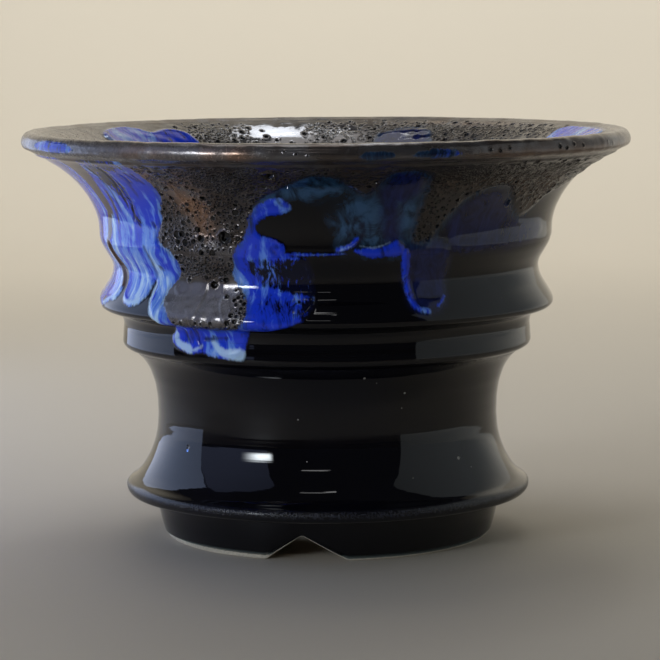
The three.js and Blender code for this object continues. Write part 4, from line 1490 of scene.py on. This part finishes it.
class POT_OT_mouth_glaze(bpy.types.Operator):
    """Glazed inside of the flared mouth, down to where the bare clay starts"""
    bl_idname = "pot.mouth_glaze"
    bl_label = "Mouth glaze"

    def execute(self, context):
        glaze = context.scene.pot_glaze
        skin = shell("mouth_glaze", "lip_inside", "mouth_foot", 0.3, MOUTH_SECTORS)
        station_of = partial(skin.profile.station_of_height, first="lip_inside", last="mouth_foot")
        canvas = Canvas(skin, station_of)
        fields = painted_fields(canvas, MOUTH_AREAS, {})
        crust_foot = 71
        lower = 1.5 * waves(skin.places, 16, 41, 16) + (skin.height - crust_foot)
        glossy = np.maximum.reduce([fields["blue"], fields["navy"], -lower])
        fields["crust"] = np.where(skin.front, np.minimum(FAR, -glossy), -FAR)
        edge = np.where(skin.front, 2.0 - np.abs(skin.height - crust_foot) * 0.6, -FAR)
        fields["navy"] = np.maximum(fields["navy"], edge)
        tints = soft_tints(canvas, MOUTH_WASHES)
        craters = scattered_craters(canvas, fields, tints["porous"], [], glaze.random_seed + 2, 0.22, 0.62)
        raised, within = sunk_craters(skin, craters)
        g = Sizes(glaze)
        uneven = 0.5 * g.crust_relief * waves(skin.places, 3, 42, 30)
        relief = run_relief(fields, glaze) + uneven * (1 - tints["sleek"])
        relief = (relief + raised) * smooth(skin.ends, 0, 1.5)
        rounded = -0.5 * (1 - smooth(skin.station.max() - skin.station, 0, 0.8)) * skin.front
        skin.raise_by(relief + rounded)
        # Partly painted shade: the crust inside the mouth is darkened and loses metal, except in its lighter
        # and glossier washes.
        brown_and_shade = 0.5 * (1 - np.maximum(tints["satin_and_painted_sheen"], tints["sleek"])) * skin.front
        skin.write({**fields, **tints, "crater": within, "brown_and_shade": brown_and_shade})
        skin.finish(material_for("running_glaze", running_glaze, glaze), "bronze_glaze", ["inner_glaze"])
        return {"FINISHED"}


# Spacing in millimetres of the rows inside the bare wall
BARE_STEP = 0.4


class POT_OT_clay_wall(bpy.types.Operator):
    """Thrown clay wall and floor with the drain hole"""
    bl_idname = "pot.clay_wall"
    bl_label = "Clay wall"

    def execute(self, context):
        scene = context.scene
        profile = pot_profile()
        w = Sizes(scene.pot_walls)
        depth = w.glaze_thickness + w.clearance
        base = Sizes(scene.pot_shape).flange_underside + depth
        top = base + w.floor_thickness
        loop = self.section(profile, w, depth, base, top)
        attributes = {"station": np.arange(len(loop), dtype=float), "depth": np.zeros(len(loop))}
        skin = Skin(turned("clay_wall", loop, attributes, [(0, 360, 300)]), profile)
        skin.places = self.with_rings(skin, w, top)
        skin.mesh.attributes.remove(skin.mesh.attributes["station"])
        skin.finish(material_for("stoneware", bare_clay, scene.pot_glaze), "bare_clay", ["clay_body"])
        return {"FINISHED"}

    def section(self, profile, w, depth, base, top):
        """Up the outside under the glaze, down the inside, through the drain hole and back below."""
        under_glaze = profile.between("foot_top", "mouth_foot", 1.4)
        bare = profile.between("mouth_foot", "drain", BARE_STEP)
        outside = profile.at(under_glaze) - profile.normal(under_glaze) * depth
        inside = profile.at(bare[1:-3]) - profile.normal(bare[1:-3]) * depth
        ring = w.drain_bevel
        upper = []
        lower = []
        for a in np.linspace(0, math.pi / 2, 6):
            over, beside = ring * (1 - math.cos(a)), ring * (1 - math.sin(a))
            upper.append((w.drain_radius + beside, top - over))
            lower.append((w.drain_radius + over, base + beside))
        wall = [(w.drain_radius, z) for z in np.linspace(top - ring, base + ring, 8)[1:-1]]
        outside = outside[outside[:, 1] > base + 0.2]
        inside = inside[inside[:, 0] > w.drain_radius + ring]
        under = [(r, base) for r in np.linspace(w.drain_radius + ring, outside[0, 0], 26)[1:]]
        return np.vstack([outside, inside, upper, wall, lower, under])

    def with_rings(self, skin, w, floor_top):
        """Throwing rings inside the wall, spiralling up from the floor."""
        places = skin.places
        radius = np.hypot(places[:, 0], places[:, 1])
        angle = np.arctan2(places[:, 1], places[:, 0])
        inner = skin.profile.at(skin.profile.between("mouth_foot", "drain", BARE_STEP))
        order = np.argsort(inner[:, 1])
        inner_radius = np.interp(places[:, 2], inner[order, 1], inner[order, 0])
        top = inner[:, 1].max()
        inside = (radius < inner_radius + 1.6) & (places[:, 2] > floor_top + 2) & (places[:, 2] < top - 1)
        rise = places[:, 2] / w.ring_spacing * 2 * np.pi
        rings = w.ring_depth * (np.cos(rise - angle) - 0.4) + 0.05 * waves(places, 7, 51, 24)
        shift = np.where(inside, rings, 0) * smooth(top - places[:, 2], 1, 5)
        scale = 1 + shift / np.maximum(radius, 1)
        moved = places.copy()
        moved[:, :2] *= scale[:, None]
        return moved


class POT_OT_foot(bpy.types.Operator):
    """Foot ring with its drainage notches and the bare edge where it stands"""
    bl_idname = "pot.foot"
    bl_label = "Foot"

    def execute(self, context):
        scene = context.scene
        f = Sizes(scene.pot_foot)
        w = Sizes(scene.pot_walls)
        profile = pot_profile()
        depth = w.glaze_thickness + w.clearance
        top = Sizes(scene.pot_shape).flange_underside + depth - 0.02
        loop = self.section(profile, f, depth, top)
        attributes = {"station": loop[:, 1], "depth": np.zeros(len(loop))}
        skin = Skin(turned("foot", loop, attributes, [(0, 360, 620)]), profile)
        radius = np.hypot(skin.places[:, 0], skin.places[:, 1])
        level = skin.places[:, 2].copy()
        lift = self.notch_lift(skin.places, f)
        skin.places[:, 2] = level + lift * (1 - level / top)
        outer = radius > f.foot_radius - 1.2
        angle = np.degrees(np.arctan2(skin.places[:, 0], -skin.places[:, 1]))
        # The glaze reaches further down in the notches, and from the front towards the right, which narrows
        # the bare edge there.
        lower_reach = 0.9 * smooth(lift, 0.1, 1.2) + 0.55 * smooth(angle, -28, -6)
        coated = np.where(outer & (level > 0.3), level - f.bare_height + 0.35 + lower_reach, -1.0)
        skin.station = skin.places[:, 2]
        skin.write({"coated": coated})
        skin.mesh.attributes.remove(skin.mesh.attributes["station"])
        skin.finish(material_for("foot_glaze", foot_glaze, scene.pot_glaze), "bare_clay", ["foot_ring"])
        return {"FINISHED"}

    def section(self, profile, f, depth, top):
        """The worn bare edge, the glazed side, the top inside the pot and the bare inner side."""
        worn, chamfer, rounding = 0.45, 0.12, 0.6
        bare_radius = f.foot_radius - 0.55
        inner = f.foot_radius - depth - f.foot_width
        side = [tuple(spot) for spot in profile.at(profile.between("foot_glaze", "foot_top", 0.33))]
        radius, height = side[-1]
        shelf = radius - 0.8
        loop = [(bare_radius - worn, 0), (bare_radius - chamfer, chamfer), (bare_radius, worn),
                (bare_radius, 0.85), (bare_radius + 0.25, 1.0), *side,
                (radius - 0.7, height + 0.02), (shelf, top)]
        loop += [(r, top) for r in np.linspace(shelf, inner + rounding, 8)[1:]]
        loop += [(inner + 0.17, top - 0.17), (inner, top - rounding)]
        loop += [(inner, z) for z in np.linspace(top - rounding, worn, 22)[1:]]
        loop += [(inner + chamfer, chamfer), (inner + worn, 0)]
        loop += [(r, 0) for r in np.linspace(inner + worn, bare_radius - worn, 9)[1:-1]]
        return np.array(loop)

    def notch_lift(self, places, f):
        """How far the foot's lower edge is raised: one upturned V for each notch."""
        lift = np.zeros(len(places))
        count = f.group.notch_count
        for i in range(count):
            azimuth = f.group.notch_azimuth + i * 2 * math.pi / count
            across = places[:, 0] * math.cos(azimuth) + places[:, 1] * math.sin(azimuth)
            outward = places[:, 0] * math.sin(azimuth) - places[:, 1] * math.cos(azimuth)
            left = (across + f.notch_width / 2) / (f.notch_width / 2 - f.notch_offset)
            right = (f.notch_width / 2 - across) / (f.notch_width / 2 + f.notch_offset)
            rise = f.notch_height * np.minimum(left, right)
            peak = f.notch_height - f.notch_round
            over = np.maximum(rise - peak, 0)
            rise = np.minimum(rise, peak) + f.notch_round * (1 - np.exp(-over / f.notch_round))
            rise = np.where(rise < 0.5, np.maximum(rise + 0.25, 0) ** 2 / 1.125, rise)
            lift = np.maximum(lift, np.where(outward > 0, np.maximum(rise, 0), 0))
        return lift


# Stage

class POT_OT_stage(bpy.types.Operator):
    """Plain floor and backdrop, soft lamps and the camera"""
    bl_idname = "pot.stage"
    bl_label = "Stage"

    def execute(self, context):
        stage = context.scene.pot_stage
        self.add_floor(stage)
        self.add_lamps()
        self.add_world()
        self.add_camera(stage)
        return {"FINISHED"}

    def add_floor(self, stage):
        """A sheet that lies flat under the pot and curves up far behind it."""
        reach, back, rise, bend = 9.0, 1.1, 1.6, 0.5
        side = [(y, 0.0) for y in np.linspace(-reach, back - bend, 20)]
        for angle in np.linspace(0, math.pi / 2, 25)[1:]:
            side.append((back - bend + bend * math.sin(angle), bend * (1 - math.cos(angle))))
        side += [(back, z) for z in np.linspace(bend, rise, 6)[1:]]
        places = [(x, y, z) for x in (-reach, reach) for y, z in side]
        count = len(side)
        faces = [(i, i + count, i + count + 1, i + 1) for i in range(count - 1)]
        mesh = bpy.data.meshes.new("floor")
        mesh.from_pydata(places, [], faces)
        floor = new_object("floor", mesh)
        for polygon in mesh.polygons:
            polygon.use_smooth = True
        material, graph, shader = new_material("plain_floor")
        cloud = graph.noise(graph.object_place(), 3.0, 2.0, 0.5)
        tone = graph.mix(graph.smooth(cloud, 0.2, 0.8), stage.floor_colour,
                         scaled(stage.floor_colour, 0.96))
        graph.feed(shader.inputs["Base Color"], tone)
        shader.inputs["Roughness"].default_value = 0.7
        mesh.materials.append(material)

    def add_lamps(self):
        # name, centre, aim, width, height, radiance, colour, spread in degrees
        lamps = [
            ("left_panel", (-0.195, 0.13, 0.078), (0, 0.13, 0.078), 0.3, 0.145, 1.0, (0.7, 0.88, 1.35), 180),
            ("right_panel", (0.26, 0.06, 0.17), (0, 0.06, 0.17), 0.6, 0.34, 0.42, (0.9, 0.98, 1.0), 150),
            # Both panels also shine away from the pot, so that the floor has no hard edge below them.
            ("left_back", (-0.195, 0.13, 0.078), (-1, 0.13, 0.078), 0.3, 0.145, 1.0, (0.7, 0.88, 1.35), 180),
            ("right_back", (0.26, 0.06, 0.17), (0.5, 0.06, 0.17), 0.6, 0.34, 0.42, (0.9, 0.98, 1.0), 150),
            ("front_panel", (-0.657, -0.306, 0.43), (0, 0, 0.43), 0.68, 0.75, 0.4, (0.75, 0.9, 1.5), 140),
            ("back_light", (0.097, 0.53, 0.96), (-0.012, 0.056, 0.085), 0.13, 0.28, 7, (0.88, 0.94, 1), 50),
            ("top_light", (-0.05, 0.10, 0.55), (0, 0.05, 0), 0.3, 0.3, 2.2, (1.0, 0.98, 0.95), 75),
            ("backdrop_light", (0, 0.45, 0.95), (0, 1.1, 0.64), 1.6, 0.4, 7.9, (0.98, 0.99, 0.96), 180),
            ("low_strip", (-0.155, -1.067, 0.576), (0, 0, 0.05), 0.38, 0.03, 4.0, (1, 1, 1), 90),
            ("high_strip", (-0.108, -0.731, 0.996), (0, 0, 0.05), 0.38, 0.03, 4.0, (1, 1, 1), 90),
        ]
        for name, centre, aim, width, height, radiance, tint, spread in lamps:
            self.add_lamp(name, centre, aim, width, height, radiance, tint, spread)
        bright = self.add_lamp("bright_core", (-0.76, -0.70, 0.24), (0.0, 0.0, 0.04), 0.44, 0.24, 39.0,
                               (0.88, 0.95, 1.0), 60)
        self.fade(bright)

    def add_lamp(self, name, centre, aim, width, height, radiance, tint, spread):
        """An area lamp whose power follows from the radiance seen from straight in front."""
        lamp = bpy.data.lights.new(name, "AREA")
        lamp.shape = "RECTANGLE"
        lamp.size, lamp.size_y = width, height
        half = math.radians(spread) / 2
        lamp.energy = radiance * math.pi * width * height * (1 - half / math.tan(half))
        lamp.color = tint
        lamp.spread = math.radians(spread)
        thing = new_object(name, lamp)
        thing.location = centre
        direction = Vector(aim) - Vector(centre)
        thing.rotation_euler = direction.to_track_quat("-Z", "Y").to_euler()
        thing.visible_camera = False
        return lamp

    def fade(self, lamp):
        """Lets a lamp grow dim towards its edges."""
        lamp.use_nodes = True
        graph = Graph(lamp.node_tree)
        spot = graph.node("ShaderNodeNewGeometry").outputs["Parametric"]
        axes = graph.node("ShaderNodeSeparateXYZ", {"Vector": spot}).outputs
        across = graph.times(graph.smooth(axes["X"], 0.0, 0.72),
                             graph.smooth(axes["X"], 1.0, 0.84))
        upward = graph.times(graph.smooth(axes["Y"], 0.0, 0.4),
                             graph.smooth(axes["Y"], 1.0, 0.5))
        emission = lamp.node_tree.nodes["Emission"]
        graph.feed(emission.inputs["Strength"], graph.times(across, upward))

    def add_world(self):
        world = bpy.data.worlds.new("room")
        world.use_nodes = True
        world.node_tree.nodes["Background"].inputs["Color"].default_value = (0.032, 0.032, 0.035, 1)
        world.node_tree.nodes["Background"].inputs["Strength"].default_value = 1.0
        bpy.context.scene.world = world

    def add_camera(self, stage):
        focal_pixels, frame_pixels, sensor = 2700.2, 660, 36
        pitch, roll, centre_pixel = math.radians(6.833), math.radians(0.357), 326.92
        camera = bpy.data.cameras.new("camera")
        camera.sensor_width = sensor
        camera.lens = focal_pixels / frame_pixels * sensor
        camera.shift_x = 0.5 - centre_pixel / frame_pixels
        camera.clip_start = 0.01
        thing = new_object("camera", camera)
        turn = Matrix.Rotation(math.pi / 2 - pitch, 4, "X") @ Matrix.Rotation(-roll, 4, "Z")
        place = Matrix.Translation((0, -stage.camera_distance, stage.camera_height))
        thing.matrix_world = place @ turn
        bpy.context.scene.camera = thing
        bpy.context.scene.view_settings.view_transform = "Standard"


class POT_PT_sidebar(bpy.types.Panel):
    """Lists the pot's pieces and their sizes"""
    bl_label = "Plant pot"
    bl_idname = "POT_PT_sidebar"
    bl_space_type = "VIEW_3D"
    bl_region_type = "UI"
    bl_category = "Plant pot"

    def draw(self, context):
        layout = self.layout
        for operator in PIECES:
            layout.operator(operator.bl_idname)
        scene = context.scene
        for group_name in GROUPS:
            group = getattr(scene, group_name)
            box = layout.box()
            for name in group.bl_rna.properties.keys():
                if name not in ("rna_type", "name"):
                    box.prop(group, name)


GROUPS = {"pot_shape": PotShape, "pot_walls": WallSizes, "pot_foot": FootSizes, "pot_glaze": GlazeSettings,
          "pot_stage": StageSettings}
PIECES = [POT_OT_stage, POT_OT_foot, POT_OT_waist_glaze, POT_OT_collar_glaze, POT_OT_belly_glaze,
          POT_OT_flare_glaze, POT_OT_lip_glaze, POT_OT_mouth_glaze, POT_OT_clay_wall]


def register():
    for item in (*GROUPS.values(), *PIECES, POT_PT_sidebar):
        bpy.utils.register_class(item)
    for name, group in GROUPS.items():
        setattr(bpy.types.Scene, name, PointerProperty(type=group))


def unregister():
    for name in GROUPS:
        delattr(bpy.types.Scene, name)
    for item in (POT_PT_sidebar, *reversed(PIECES), *reversed(GROUPS.values())):
        bpy.utils.unregister_class(item)


def main():
    register()
    bpy.ops.pot.stage()
    bpy.ops.pot.foot()
    bpy.ops.pot.waist_glaze()
    bpy.ops.pot.collar_glaze()
    bpy.ops.pot.belly_glaze()
    bpy.ops.pot.flare_glaze()
    bpy.ops.pot.lip_glaze()
    bpy.ops.pot.mouth_glaze()
    bpy.ops.pot.clay_wall()


if __name__ == "__main__":
    main()
